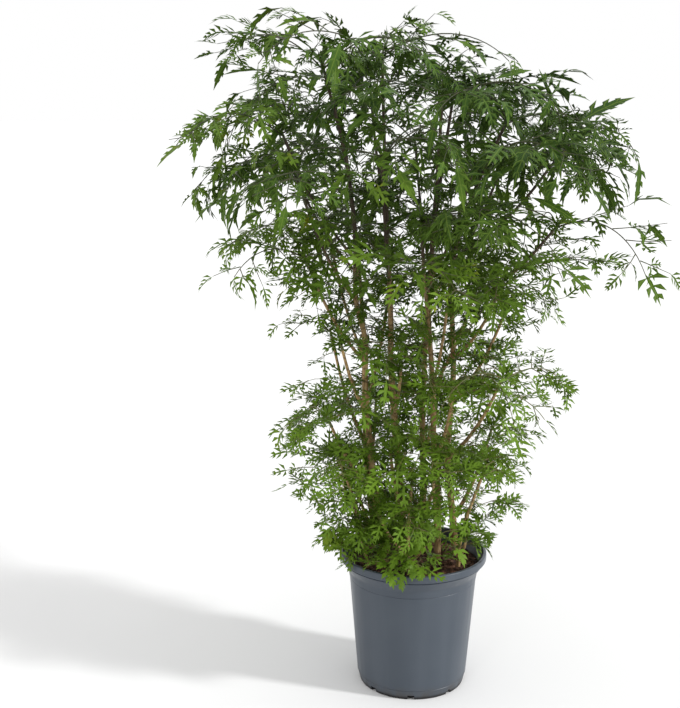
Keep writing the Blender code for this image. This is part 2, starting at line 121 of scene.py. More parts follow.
def settle(target):
    bpy.context.view_layer.update()
    evaluated = target.evaluated_get(bpy.context.evaluated_depsgraph_get())
    mesh = bpy.data.meshes.new_from_object(evaluated)
    target.modifiers.clear()
    target.data = mesh
    mesh.name = target.name


def pieceName(kind, stem):
    return kind + "".join(word.capitalize() for word in stem.split("_"))


# A number held between none and one
def unit(value):
    return min(1.0, max(0.0, value))


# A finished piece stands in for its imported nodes
def dress(piece, slot, *nodes):
    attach(piece, "root")
    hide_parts(*nodes)
    triangles = sum(len(face.vertices) - 2 for face in piece.data.polygons)
    print("piece", piece.name, triangles, "triangles")
    return triangles


def namedValue(tree, name, kind="FLOAT"):
    node = addNode(tree, "GeometryNodeInputNamedAttribute", {"Name": name}, data_type=kind)
    return node.outputs["Attribute"]


def mathNode(tree, operation, *values):
    node = addNode(tree, "ShaderNodeMath", operation=operation)
    for socket, value in zip(node.inputs, values):
        if isinstance(value, bpy.types.NodeSocket):
            tree.links.new(value, socket)
        else:
            socket.default_value = value
    return node.outputs[0]


# Material helpers

def newMaterial(name):
    material = bpy.data.materials.new(name)
    material.use_nodes = True
    return material, material.node_tree, material.node_tree.nodes["Principled BSDF"]


def objectNoise(tree, scale, detail, stretch=(1.0, 1.0, 1.0)):
    place = addNode(tree, "ShaderNodeTexCoord").outputs["Object"]
    turned = addNode(tree, "ShaderNodeMapping", {"Vector": place, "Scale": stretch})
    cloud = addNode(tree, "ShaderNodeTexNoise",
                    {"Vector": turned.outputs["Vector"], "Scale": scale, "Detail": detail})
    return cloud.outputs["Fac"]


# None at the low height and one at the high one, which may also be the lower of the two
def heightShare(tree, low, high):
    place = addNode(tree, "ShaderNodeTexCoord").outputs["Object"]
    height = addNode(tree, "ShaderNodeSeparateXYZ", {"Vector": place}).outputs["Z"]
    share = addNode(tree, "ShaderNodeMapRange", {"Value": height, "From Min": low, "From Max": high})
    return share.outputs["Result"]


def colourRamp(tree, source, stops):
    ramp = addNode(tree, "ShaderNodeValToRGB", {"Fac": source})
    marks = ramp.color_ramp.elements
    while len(marks) < len(stops):
        marks.new(0.5)
    for mark, (place, colour) in zip(marks, stops):
        mark.position = place
        mark.color = (*colour, 1.0)
    return ramp.outputs["Color"]


def mixColour(tree, share, first, second):
    node = addNode(tree, "ShaderNodeMix", data_type="RGBA")
    colours = [socket for socket in node.inputs if socket.type == "RGBA"]
    for socket, value in zip([node.inputs[0]] + colours, (share, first, second)):
        if isinstance(value, bpy.types.NodeSocket):
            tree.links.new(value, socket)
        else:
            socket.default_value = value if socket.type == "VALUE" else (*value, 1.0)
    return [socket for socket in node.outputs if socket.type == "RGBA"][0]


def rangeOf(tree, source, fromLow, fromHigh, toLow, toHigh):
    node = addNode(tree, "ShaderNodeMapRange",
                   {"Value": source, "From Min": fromLow, "From Max": fromHigh,
                    "To Min": toLow, "To Max": toHigh})
    return node.outputs["Result"]


def addBump(tree, shader, height, strength, distance, under=None):
    bump = addNode(tree, "ShaderNodeBump",
                   {"Height": height, "Strength": strength, "Distance": distance})
    if under:
        tree.links.new(under, bump.inputs["Normal"])
    tree.links.new(bump.outputs["Normal"], shader.inputs["Normal"])
    return bump.outputs["Normal"]


# Pot: injection-moulded plastic, satin, with a fine grain, faint drag marks, a dusty foot and painted
# shade along its bottom edge
pot = {
    "height": 0.225, "rimRadius": 0.120, "wall": 0.0018, "floor": 0.004, "sides": 160,
    "wallLow": 0.0889, "wallHigh": 0.1045,
    "lipHeight": 0.0125, "lipWidth": 0.0048, "lipRound": 0.0020, "lipGroove": 0.0010,
    "collarRadius": 0.1168, "collarBottom": 0.194, "collarRound": 0.004,
    "ringHeight": 0.182, "ringStep": 0.0006,
    "footRadius": 0.0858, "footHeight": 0.0165, "footStep": 0.0008, "footRound": 0.0012,
    "footLean": 0.0004,
    "drains": 8, "drainWidth": 0.011, "drainHeight": 0.008, "drainDepth": 0.014, "drainRound": 0.35,
    "sharpAngle": 32.0, "weld": 0.00002,
    "colour": (0.053, 0.066, 0.085), "paleColour": (0.062, 0.076, 0.094),
    # The edge colour is painted shade: a near-black band along the pot's bottom edge, where contact
    # shadow falls
    "streakColour": (0.070, 0.084, 0.104), "dust": (0.072, 0.066, 0.062), "edge": (0.006, 0.005, 0.005),
    "dustShare": 0.70, "dustHeights": (0.4, 1.5), "paintedEdgeShadeShare": 0.90, "paintedEdgeShadeHeights": (0.0075, 0.0030),
    "cloudScale": 14.0, "dragScale": 90.0, "streakScale": 24.0, "dustScale": 60.0, "grainScale": 1400.0,
    "roughness": 0.36, "gloss": 0.35,
}


def wallRadius(height):
    return pot["wallLow"] + (pot["wallHigh"] - pot["wallLow"]) * height / pot["collarBottom"]


# Points of a curve from start to end that bulges towards the corner between them
def rounded(start, corner, end, steps=5):
    points = []
    for i in range(steps + 1):
        t = i / steps
        points.append(tuple((1 - t) ** 2 * a + 2 * t * (1 - t) * b + t * t * c
                            for a, b, c in zip(start, corner, end)))
    return points


# The pot's section: from the middle of the floor up inside, over the lip and down to the foot
def potProfile():
    top, rim, lip = pot["height"], pot["rimRadius"], pot["lipRound"]
    lipBottom = top - pot["lipHeight"]
    inner = rim - pot["lipWidth"]
    collar, collarZ, bend = pot["collarRadius"], pot["collarBottom"], pot["collarRound"]
    ring, step, groove = pot["ringHeight"], pot["ringStep"], pot["lipGroove"]
    footTop, foot, edge = pot["footHeight"], pot["footRadius"], pot["footRound"]
    wall = pot["wall"]
    outer = [(inner, top - 0.4 * lip)]
    outer += rounded((inner, top - 0.4 * lip), (inner, top), (inner + 0.4 * lip, top), 3)[1:]
    outer += rounded((rim - lip, top), (rim, top), (rim, top - lip))
    outer += [(rim, lipBottom + 3 * groove)]
    outer += rounded((rim, lipBottom + 3 * groove), (rim, lipBottom + groove),
                     (rim - groove, lipBottom + groove), 3)[1:]
    outer += rounded((collar + groove, lipBottom + groove), (collar - groove, lipBottom + groove),
                     (collar - groove, lipBottom - groove), 3)
    outer += [(collar, lipBottom - 2 * groove)]
    high = wallRadius(collarZ) + step
    outer += rounded((high + (collar - high) * 0.25, collarZ + bend), (high, collarZ),
                     (high, collarZ - bend))
    outer += rounded((wallRadius(ring) + step, ring + step), (wallRadius(ring) - groove, ring),
                     (wallRadius(ring), ring - 1.5 * step), 4)
    outer += rounded((wallRadius(footTop), footTop + step), (wallRadius(footTop) - 2 * groove, footTop),
                     (wallRadius(footTop) - pot["footStep"], footTop - 2 * step), 4)
    outer += rounded((foot + pot["footLean"], 2 * edge), (foot, 0.0), (foot - 2 * edge, 0.0))
    inside = [(0.0, pot["floor"]), (foot - wall - 3 * edge, pot["floor"]),
              (foot - wall, pot["floor"] + 3 * edge),
              (wallRadius(footTop) - pot["footStep"] - wall, footTop),
              (wallRadius(collarZ) - wall, collarZ),
              (collar - wall, lipBottom)]
    return inside + outer + [(0.0, 0.0)]


def turnedObject(name, profile, sides):
    mesh = bpy.data.meshes.new(name)
    mesh.from_pydata([(r, 0.0, z) for r, z in profile],
                     [(i, i + 1) for i in range(len(profile) - 1)], [])
    made = addObject(name, mesh)
    screw = made.modifiers.new("turn", "SCREW")
    screw.steps = sides
    screw.render_steps = sides
    screw.use_merge_vertices = True
    screw.merge_threshold = pot["weld"]
    settle(made)
    return made


# Drainage notches through the foot of the wall, with rounded shoulders
def cutDrains(target):
    holder = bpy.data.collections.new("drainCutters")
    bpy.context.scene.collection.children.link(holder)
    size = Matrix.Diagonal((pot["drainDepth"], pot["drainWidth"], 2 * pot["drainHeight"], 1.0))
    for i in range(pot["drains"]):
        turn = math.tau * i / pot["drains"] - math.pi / 2
        outward = Vector((math.cos(turn), math.sin(turn), 0.0))
        shape = bmesh.new()
        bmesh.ops.create_cube(shape, size=1.0)
        place = Matrix.Rotation(turn, 4, "Z") @ Matrix.Translation((pot["footRadius"], 0.0, 0.0))
        shape.transform(place @ size)
        shoulders = []  # the two upper edges that run outwards
        for edge in shape.edges:
            first, second = (corner.co for corner in edge.verts)
            level = abs(first.z - second.z) < 1e-6 and first.z > 0.0
            if level and abs((second - first).normalized().dot(outward)) > 0.9:
                shoulders.append(edge)
        bmesh.ops.bevel(shape, geom=shoulders, offset=pot["drainRound"] * pot["drainWidth"],
                        segments=4, affect="EDGES")
        mesh = bpy.data.meshes.new(f"drain{i}")
        shape.to_mesh(mesh)
        shape.free()
        holder.objects.link(bpy.data.objects.new(f"drain{i}", mesh))
    cut = target.modifiers.new("drains", "BOOLEAN")
    cut.operand_type = "COLLECTION"
    cut.collection = holder
    cut.solver = "EXACT"
    settle(target)
    for cutter in list(holder.objects):
        bpy.data.objects.remove(cutter, do_unlink=True)
    bpy.data.collections.remove(holder)


def potPlastic():
    material, tree, shader = newMaterial("slatePlastic")
    clouds = objectNoise(tree, pot["cloudScale"], 4.0)
    drag = objectNoise(tree, pot["dragScale"], 2.0, (1.0, 1.0, 0.06))
    streaks = objectNoise(tree, pot["streakScale"], 2.0, (1.0, 1.0, 0.04))
    patches = objectNoise(tree, pot["dustScale"], 4.0, (1.0, 1.0, 0.35))
    grain = objectNoise(tree, pot["grainScale"], 2.0)
    colour = mixColour(tree, rangeOf(tree, clouds, 0.3, 0.7, 0.0, 0.8), pot["colour"], pot["paleColour"])
    colour = mixColour(tree, rangeOf(tree, streaks, 0.45, 0.66, 0.0, 0.7), colour, pot["streakColour"])
    aboveFoot = heightShare(tree, *(share * pot["footHeight"] for share in pot["dustHeights"]))
    dusty = mathNode(tree, "MULTIPLY", mathNode(tree, "SUBTRACT", 1.0, aboveFoot),
                     rangeOf(tree, patches, 0.34, 0.60, 0.15, 1.0))
    dust = mathNode(tree, "MULTIPLY", dusty, pot["dustShare"])
    colour = mixColour(tree, dust, colour, pot["dust"])
    # Painted shade: the lowest few millimetres of the pot are darkened nearly to black, as contact
    # shadow
    edge = mathNode(tree, "MULTIPLY", heightShare(tree, *pot["paintedEdgeShadeHeights"]), pot["paintedEdgeShadeShare"])
    colour = mixColour(tree, edge, colour, pot["edge"])
    tree.links.new(colour, shader.inputs["Base Color"])
    rough = mathNode(tree, "ADD", rangeOf(tree, drag, 0.3, 0.7, -0.05, 0.06), pot["roughness"])
    tree.links.new(mathNode(tree, "ADD", rough, mathNode(tree, "MULTIPLY", dust, 0.5)),
                   shader.inputs["Roughness"])
    shader.inputs["Specular IOR Level"].default_value = pot["gloss"]
    under = addBump(tree, shader, drag, 0.05, 0.0006)
    addBump(tree, shader, grain, 0.10, 0.00015, under)
    return material


def makePot():
    made = turnedObject("potShell", potProfile(), pot["sides"])
    cutDrains(made)
    made.data.materials.clear()
    made.data.materials.append(potPlastic())
    made.data.shade_smooth()
    made.data.set_sharp_from_angle(angle=math.radians(pot["sharpAngle"]))
    return dress(made, "slate_plastic", "pot")


# Soil: a bumpy bed under loose chips of bark and coir
soil = {
    "top": 0.2025, "mound": 0.004, "bump": 0.0025, "bumpScale": 60.0, "rings": 26, "sides": 96,
    "gap": 0.0003, "footInset": 0.004, "seed": 7,
    "chips": 52000.0, "chipKinds": 5, "chipSize": (0.0045, 0.0115), "chipMargin": 0.6,
    "chipWidth": (0.35, 0.75), "chipHeight": (0.14, 0.30), "chipPinch": 0.45,
    "chipRagged": (0.12, 0.06, 0.05), "chipTilt": 0.5,
    "deep": (0.022, 0.011, 0.007), "red": (0.085, 0.034, 0.018), "tan": (0.185, 0.095, 0.052),
}


# The bed's radius at a height, just inside the pot's wall
def innerRadius(height):
    lipBottom = pot["height"] - pot["lipHeight"]
    low = wallRadius(pot["collarBottom"])
    share = (height - pot["collarBottom"]) / (lipBottom - pot["collarBottom"])
    return low + (pot["collarRadius"] - low) * share - pot["wall"] - soil["gap"]


def soilHeight(x, y):
    place = Vector((x, y, 0.0)) * soil["bumpScale"]
    reach = math.hypot(x, y) / innerRadius(soil["top"])
    return (soil["top"] + soil["mound"] * (1.0 - reach * reach)
            + soil["bump"] * (noise.noise(place) + 0.5 * noise.noise(2.3 * place)))


# A chip: a flat block one unit long, split across its middle and made ragged
def chipMesh(name, draw):
    shape = bmesh.new()
    bmesh.ops.create_cube(shape, size=1.0)
    lengthwise = [edge for edge in shape.edges if abs(edge.verts[0].co.x - edge.verts[1].co.x) > 0.5]
    bmesh.ops.subdivide_edges(shape, edges=lengthwise, cuts=1)
    width, height = draw.uniform(*soil["chipWidth"]), draw.uniform(*soil["chipHeight"])
    for corner in shape.verts:
        pinch = 1.0 - soil["chipPinch"] * abs(corner.co.x) * 2.0 * draw.random()
        ragged = [draw.uniform(-most, most) for most in soil["chipRagged"]]
        corner.co = Vector((corner.co.x + ragged[0], corner.co.y * width * pinch + ragged[1],
                            corner.co.z * height + ragged[2]))
    bmesh.ops.triangulate(shape, faces=shape.faces[:])
    bmesh.ops.recalc_face_normals(shape, faces=shape.faces)
    mesh = bpy.data.meshes.new(name)
    shape.to_mesh(mesh)
    shape.free()
    return mesh


def kindsCollection(name, meshes, material):
    holder = bpy.data.collections.new(name)
    for mesh in meshes:
        mesh.materials.append(material)
        holder.objects.link(bpy.data.objects.new(mesh.name, mesh))
    return holder


# Nodes that strew the chips over the bed's top, clear of the pot's wall, and keep the bed
def chipTree():
    tree, given = newTree("scatterChips", {
        "Chips": "Collection", "Density": "Float", "Smallest": "Float", "Largest": "Float",
        "Seed": "Int", "Material": "Material"})
    normal = addNode(tree, "ShaderNodeSeparateXYZ",
                     {"Vector": addNode(tree, "GeometryNodeInputNormal").outputs["Normal"]})
    place = addNode(tree, "ShaderNodeSeparateXYZ",
                    {"Vector": addNode(tree, "GeometryNodeInputPosition").outputs["Position"]})
    facing = mathNode(tree, "GREATER_THAN", normal.outputs["Z"], 0.5)
    squares = [mathNode(tree, "POWER", place.outputs[axis], 2.0) for axis in "XY"]
    spread = mathNode(tree, "SQRT", mathNode(tree, "ADD", *squares))
    edge = innerRadius(soil["top"]) - soil["chipMargin"] * soil["chipSize"][1]
    inside = mathNode(tree, "LESS_THAN", spread, edge)
    spots = addNode(tree, "GeometryNodeDistributePointsOnFaces",
                    {"Mesh": given["Geometry"], "Density": given["Density"], "Seed": given["Seed"],
                     "Selection": mathNode(tree, "MULTIPLY", facing, inside)})
    size = addNode(tree, "FunctionNodeRandomValue", data_type="FLOAT")
    for label, source in (("Min", "Smallest"), ("Max", "Largest"), ("Seed", "Seed")):
        tree.links.new(given[source], liveSocket(size.inputs, label))
    tilt = soil["chipTilt"]
    turn = addNode(tree, "FunctionNodeRandomValue", data_type="FLOAT_VECTOR")
    liveSocket(turn.inputs, "Min").default_value = (-tilt, -tilt, 0.0)
    liveSocket(turn.inputs, "Max").default_value = (tilt, tilt, math.tau)
    tint = addNode(tree, "FunctionNodeRandomValue", data_type="FLOAT")
    chips = addNode(tree, "GeometryNodeCollectionInfo",
                    {"Collection": given["Chips"], "Separate Children": True, "Reset Children": True})
    laid = addNode(tree, "GeometryNodeInstanceOnPoints",
                   {"Points": spots.outputs["Points"], "Instance": chips.outputs["Instances"],
                    "Pick Instance": True})
    tree.links.new(liveSocket(turn.outputs), laid.inputs["Rotation"])
    tree.links.new(liveSocket(size.outputs), laid.inputs["Scale"])
    tinted = addNode(tree, "GeometryNodeStoreNamedAttribute",
                     {"Geometry": laid.outputs["Instances"], "Name": "tint"},
                     data_type="FLOAT", domain="INSTANCE")
    tree.links.new(liveSocket(tint.outputs), liveSocket(tinted.inputs, "Value"))
    loose = addNode(tree, "GeometryNodeRealizeInstances", {"Geometry": tinted.outputs["Geometry"]})
    joined = addNode(tree, "GeometryNodeJoinGeometry")
    tree.links.new(loose.outputs["Geometry"], joined.inputs["Geometry"])
    tree.links.new(given["Geometry"], joined.inputs["Geometry"])
    painted = addNode(tree, "GeometryNodeSetMaterial",
                      {"Geometry": joined.outputs["Geometry"], "Material": given["Material"]})
    closeTree(tree, painted.outputs["Geometry"])
    return tree


def soilMaterial():
    material, tree, shader = newMaterial("barkSoil")
    tint = addNode(tree, "ShaderNodeAttribute", attribute_name="tint").outputs["Fac"]
    fine = objectNoise(tree, 420.0, 4.0)
    mixed = mathNode(tree, "ADD", mathNode(tree, "MULTIPLY", tint, 0.75),
                     mathNode(tree, "MULTIPLY", fine, 0.4))
    colour = colourRamp(tree, mixed, [(0.10, soil["deep"]), (0.62, soil["red"]), (1.0, soil["tan"])])
    tree.links.new(colour, shader.inputs["Base Color"])
    shader.inputs["Roughness"].default_value = 0.92
    addBump(tree, shader, objectNoise(tree, 700.0, 5.0), 0.6, 0.0008)
    return material


def makeSoil():
    top = innerRadius(soil["top"])
    profile = [(top * i / soil["rings"], soil["top"]) for i in range(soil["rings"] + 1)]
    low = pot["floor"] + soil["gap"]
    collarWall = wallRadius(pot["collarBottom"]) - pot["wall"] - soil["gap"]
    footWall = wallRadius(pot["footHeight"]) - pot["footStep"] - pot["wall"] - soil["gap"]
    profile += [(collarWall, pot["collarBottom"]), (footWall, pot["footHeight"]),
                (pot["footRadius"] - pot["wall"] - soil["footInset"], low), (0.0, low)]
    made = turnedObject("soilBed", profile, soil["sides"])
    for point in made.data.vertices:
        if point.co.z > soil["top"] - 1e-5:
            point.co.z = soilHeight(point.co.x, point.co.y)
    draw, barkSoil = random.Random(soil["seed"]), soilMaterial()
    made.data.materials.append(barkSoil)
    chips = [chipMesh(f"chip{i}", draw) for i in range(soil["chipKinds"])]
    smallest, largest = soil["chipSize"]
    growFrom(made, chipTree(), {"Chips": kindsCollection("chipKinds", chips, barkSoil),
                                "Density": soil["chips"], "Smallest": smallest, "Largest": largest,
                                "Seed": soil["seed"], "Material": barkSoil})
    return dress(made, "bark_soil", "soil")


# Wood. Each stem: radius at the soil, the points of its trunk above its foot, and its limbs
# as (share of the trunk's length where it leaves, tip)
stems = {
    "left": {
        "radius": 0.0066,
        "trunk": [(-0.045, -0.015, 0.213), (-0.058, -0.018, 0.300), (-0.069, -0.020, 0.390),
                  (-0.079, -0.016, 0.500), (-0.080, -0.012, 0.580), (-0.094, -0.012, 0.640),
                  (-0.097, -0.016, 0.760), (-0.112, -0.024, 0.870), (-0.140, -0.028, 0.982)],
        "limbs": [(0.66, (-0.205, 0.004, 0.886)), (0.58, (-0.165, -0.100, 0.800)),
                  (0.46, (-0.168, -0.030, 0.700)), (0.36, (-0.112, -0.074, 0.575)),
                  (0.20, (-0.132, -0.030, 0.440))],
    },
    "middle": {
        "radius": 0.0072,
        "trunk": [(-0.015, 0.012, 0.213), (-0.020, 0.012, 0.310), (-0.031, 0.014, 0.420),
                  (-0.039, 0.018, 0.530), (-0.041, 0.020, 0.630), (-0.047, 0.016, 0.740),
                  (-0.052, 0.012, 0.870), (-0.056, 0.006, 1.000)],
        "limbs": [(0.72, (-0.075, 0.075, 0.945)), (0.60, (-0.052, -0.105, 0.855)),
                  (0.48, (-0.040, -0.085, 0.700)), (0.34, (-0.022, -0.066, 0.540)),
                  (0.14, (-0.036, -0.066, 0.400))],
    },
    "centre": {
        "radius": 0.0058,
        "trunk": [(0.040, 0.002, 0.213), (0.040, 0.000, 0.300), (0.032, -0.003, 0.390),
                  (0.028, -0.004, 0.500), (0.020, -0.008, 0.620), (0.024, -0.020, 0.740),
                  (0.030, -0.034, 0.850), (0.034, -0.046, 0.935)],
        "limbs": [(0.66, (0.078, -0.120, 0.850)), (0.54, (0.006, -0.140, 0.770)),
                  (0.44, (0.046, -0.094, 0.640)), (0.28, (0.058, -0.076, 0.500)),
                  (0.10, (0.030, -0.070, 0.370))],
    },
    "right": {
        "radius": 0.0064,
        "trunk": [(0.070, 0.036, 0.213), (0.063, 0.031, 0.290), (0.054, 0.027, 0.380),
                  (0.061, 0.022, 0.510), (0.057, 0.018, 0.610), (0.054, 0.014, 0.680),
                  (0.080, 0.006, 0.790), (0.128, -0.008, 0.905)],
        "limbs": [(0.72, (0.205, 0.036, 0.845)), (0.60, (0.204, -0.034, 0.752)),
                  (0.50, (0.124, -0.090, 0.670)), (0.40, (0.140, 0.034, 0.610)),
                  (0.28, (0.130, -0.036, 0.510)), (0.14, (0.122, 0.034, 0.410))],
    },
    "back": {
        "radius": 0.0060,
        "trunk": [(0.013, 0.060, 0.213), (0.016, 0.064, 0.310), (0.013, 0.068, 0.430),
                  (0.016, 0.072, 0.560), (0.022, 0.076, 0.680), (0.034, 0.082, 0.800),
                  (0.052, 0.092, 0.935)],
        "limbs": [(0.66, (-0.004, 0.146, 0.865)), (0.60, (0.132, 0.116, 0.830)),
                  (0.46, (0.028, 0.150, 0.715)), (0.38, (0.098, 0.100, 0.640)),
                  (0.26, (0.046, 0.118, 0.500)), (0.12, (0.050, 0.100, 0.360))],
    },
    "left_back": {
        "radius": 0.0052,
        "trunk": [(-0.060, 0.036, 0.213), (-0.074, 0.040, 0.310), (-0.082, 0.046, 0.430),
                  (-0.084, 0.052, 0.560), (-0.094, 0.058, 0.690), (-0.106, 0.066, 0.800),
                  (-0.122, 0.078, 0.905)],
        "limbs": [(0.68, (-0.196, 0.096, 0.820)), (0.50, (-0.140, 0.118, 0.700)),
                  (0.38, (-0.046, 0.104, 0.625)), (0.30, (-0.136, 0.050, 0.565)),
                  (0.20, (-0.066, 0.106, 0.440)), (0.10, (-0.112, 0.066, 0.360))],
    },
    "left_shoot": {
        "radius": 0.0034,
        "trunk": [(-0.074, -0.030, 0.213), (-0.083, -0.033, 0.255), (-0.093, -0.036, 0.315),
                  (-0.118, -0.042, 0.385)],
        "limbs": [(0.35, (-0.098, 0.000, 0.300))],
    },
    "front_shoot": {
        "radius": 0.0034,
        "trunk": [(-0.004, -0.060, 0.213), (-0.008, -0.064, 0.260), (-0.004, -0.074, 0.350)],
        "limbs": [(0.34, (0.020, -0.088, 0.268)), (0.40, (-0.050, -0.078, 0.300))],
    },
    "right_shoot": {
        "radius": 0.0036,
        "trunk": [(0.074, -0.022, 0.213), (0.080, -0.024, 0.270), (0.112, -0.034, 0.375)],
        "limbs": [(0.26, (0.084, -0.054, 0.262))],
    },
}
wood = {
    "foot": 0.160, "tipRadius": 0.0022, "limbShare": 0.62, "limbBend": (0.62, 0.62, 0.40),
    "limbPoints": 4, "straightShare": 0.1, "step": 0.0042, "sides": 10,
    "ridge": 0.16, "ridgeScale": 190.0, "ring": 0.13, "ringSpacing": 0.021, "ringWobble": 0.008,
    "flare": 1.25,
    "tan": (0.430, 0.280, 0.118), "brown": (0.215, 0.128, 0.052), "pale": (0.560, 0.425, 0.230),
    # The dark colour marks the leaf-scar rings, and is also the painted shade laid over the upper wood
    "dark": (0.030, 0.021, 0.016), "paintedShadeHeights": (0.58, 0.74), "paintedShadeShare": 0.92,
    "streakScale": 260.0, "blotchScale": 38.0, "poreScale": 330.0, "roughness": 0.82,
}


def pointAlong(path, share):
    spans = [(b - a).length for a, b in zip(path, path[1:])]
    left = share * sum(spans)
    for a, b, span in zip(path, path[1:], spans):
        if left <= span:
            return a.lerp(b, left / span)
        left -= span
    return path[-1]


def limbPath(start, tip):
    bend = start + Vector(wood["limbBend"]) * (tip - start)
    points = []
    for i in range(wood["limbPoints"]):
        t = i / (wood["limbPoints"] - 1)
        points.append(start.lerp(bend, t).lerp(bend.lerp(tip, t), t))
    return points


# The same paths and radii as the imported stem: its trunk first, then its limbs
def stemPaths(stem):
    foot = Vector(stem["trunk"][0])
    foot.z = wood["foot"]
    trunk = [foot] + [Vector(point) for point in stem["trunk"]]
    thick, thin, straight = stem["radius"], wood["tipRadius"], wood["straightShare"]
    girths = [thick + (thin - thick) * max(0.0, i / (len(trunk) - 1) - straight) / (1.0 - straight)
              for i in range(len(trunk))]
    paths = [(trunk, girths)]
    for share, tip in stem["limbs"]:
        base = wood["limbShare"] * (girths[0] + (girths[-1] - girths[0]) * share)
        points = limbPath(pointAlong(trunk, share), Vector(tip))
        last = wood["limbPoints"] - 1
        paths.append((points, [base + (thin - base) * i / last for i in range(last + 1)]))
    return paths


# Paths as loose edges with a girth at each point, and leaflets as loose points with a size
def sketchMesh(name, paths, leaflets=()):
    corners = [point for points, _ in paths for point in points]
    girths = [girth for _, radii in paths for girth in radii]
    edges, first = [], 0
    for points, _ in paths:
        edges += [(first + i, first + i + 1) for i in range(len(points) - 1)]
        first += len(points)
    mesh = bpy.data.meshes.new(name)
    mesh.from_pydata(corners + [leaflet["place"] for leaflet in leaflets], edges, [])
    pad = len(corners)
    stored = {
        "girth": ("FLOAT", girths + [0.0] * len(leaflets)),
        "size": ("FLOAT", [0.0] * pad + [leaflet["size"] for leaflet in leaflets]),
        "tint": ("FLOAT", [0.5] * pad + [leaflet["tint"] for leaflet in leaflets]),
        "kind": ("INT", [0] * pad + [leaflet["kind"] for leaflet in leaflets]),
        "aim": ("QUATERNION", [1.0, 0.0, 0.0, 0.0] * pad
                + [part for leaflet in leaflets for part in leaflet["aim"]]),
    }
    for label, (kind, values) in stored.items():
        mesh.attributes.new(label, kind, "POINT").data.foreach_set("value", values)
    return mesh


# Nodes that turn the sketch's edges into smooth, tapered, slightly knotted tubes
def tubeNodes(tree, given):
    lines = addNode(tree, "GeometryNodeMeshToCurve", {"Mesh": given["Geometry"]})
    smooth = addNode(tree, "GeometryNodeCurveSplineType", {"Curve": lines.outputs["Curve"]},
                     spline_type="CATMULL_ROM")
    even = addNode(tree, "GeometryNodeResampleCurve",
                   {"Curve": smooth.outputs["Curve"], "Length": given["Step"]}, mode="LENGTH")
    along = addNode(tree, "GeometryNodeSplineParameter").outputs["Length"]
    wave = mathNode(tree, "COSINE", mathNode(tree, "MULTIPLY", along, math.tau / wood["ringSpacing"]))
    knot = mathNode(tree, "POWER", mathNode(tree, "MAXIMUM", wave, 0.0), 6.0)
    swell = mathNode(tree, "ADD", mathNode(tree, "MULTIPLY", knot, given["Ring"]), 1.0)
    girth = mathNode(tree, "MULTIPLY", namedValue(tree, "girth"), swell)
    measured = addNode(tree, "GeometryNodeStoreNamedAttribute",
                       {"Geometry": even.outputs["Curve"], "Name": "along"},
                       data_type="FLOAT", domain="POINT")
    tree.links.new(along, liveSocket(measured.inputs, "Value"))
    circle = addNode(tree, "GeometryNodeCurvePrimitiveCircle",
                     {"Resolution": given["Sides"], "Radius": 1.0})
    tube = addNode(tree, "GeometryNodeCurveToMesh",
                   {"Curve": measured.outputs["Geometry"], "Profile Curve": circle.outputs["Curve"],
                    "Scale": girth, "Fill Caps": True})
    place = addNode(tree, "GeometryNodeInputPosition").outputs["Position"]
    slim = addNode(tree, "ShaderNodeVectorMath", {0: place, 1: (1.0, 1.0, 0.35)}, operation="MULTIPLY")
    cloud = addNode(tree, "ShaderNodeTexNoise",
                    {"Vector": slim.outputs["Vector"], "Scale": wood["ridgeScale"]})
    lift = mathNode(tree, "MULTIPLY", mathNode(tree, "SUBTRACT", cloud.outputs["Fac"], 0.5),
                    mathNode(tree, "MULTIPLY", given["Ridge"], namedValue(tree, "girth")))
    normal = addNode(tree, "GeometryNodeInputNormal").outputs["Normal"]
    offset = addNode(tree, "ShaderNodeVectorMath", {0: normal, "Scale": lift}, operation="SCALE")
    rough = addNode(tree, "GeometryNodeSetPosition",
                    {"Geometry": tube.outputs["Mesh"], "Offset": offset.outputs["Vector"]})
    return rough.outputs["Geometry"]


def woodTree():
    tree, given = newTree("stemTubes", {
        "Step": "Float", "Sides": "Int", "Ridge": "Float", "Ring": "Float", "Material": "Material"})
    painted = addNode(tree, "GeometryNodeSetMaterial",
                      {"Geometry": tubeNodes(tree, given), "Material": given["Material"]})
    closeTree(tree, painted.outputs["Geometry"])
    return tree


def barkMaterial():
    material, tree, shader = newMaterial("trunkBark")
    streaks = objectNoise(tree, wood["streakScale"], 5.0, (1.0, 1.0, 0.16))
    blotches = objectNoise(tree, wood["blotchScale"], 3.0)
    along = addNode(tree, "ShaderNodeAttribute", attribute_name="along").outputs["Fac"]
    wobble = mathNode(tree, "ADD", along, mathNode(tree, "MULTIPLY", blotches, wood["ringWobble"]))
    wave = mathNode(tree, "COSINE", mathNode(tree, "MULTIPLY", wobble, math.tau / wood["ringSpacing"]))
    scar = rangeOf(tree, wave, 0.80, 0.99, 0.0, 0.45)
    stops = [(0.30, wood["brown"]), (0.52, wood["tan"]), (0.74, wood["pale"])]
    colour = colourRamp(tree, streaks, stops)
    colour = mixColour(tree, rangeOf(tree, blotches, 0.45, 0.70, 0.0, 0.6), colour, wood["brown"])
    colour = mixColour(tree, scar, colour, wood["dark"])
    place = addNode(tree, "ShaderNodeTexCoord").outputs["Object"]
    spots = addNode(tree, "ShaderNodeTexVoronoi", {"Vector": place, "Scale": wood["poreScale"]})
    pore = rangeOf(tree, spots.outputs["Distance"], 0.10, 0.22, 0.6, 0.0)
    colour = mixColour(tree, pore, colour, wood["pale"])
    # Painted shade: the wood turns dark towards the top, where the crown shades it
    paintedUpperShade = mathNode(tree, "MULTIPLY", heightShare(tree, *wood["paintedShadeHeights"]), wood["paintedShadeShare"])
    colour = mixColour(tree, paintedUpperShade, colour, wood["dark"])
    tree.links.new(colour, shader.inputs["Base Color"])
    shader.inputs["Roughness"].default_value = wood["roughness"]
    under = addBump(tree, shader, streaks, 0.55, 0.0012)
    addBump(tree, shader, mathNode(tree, "ADD", pore, scar), 0.35, 0.0006, under)
    return material


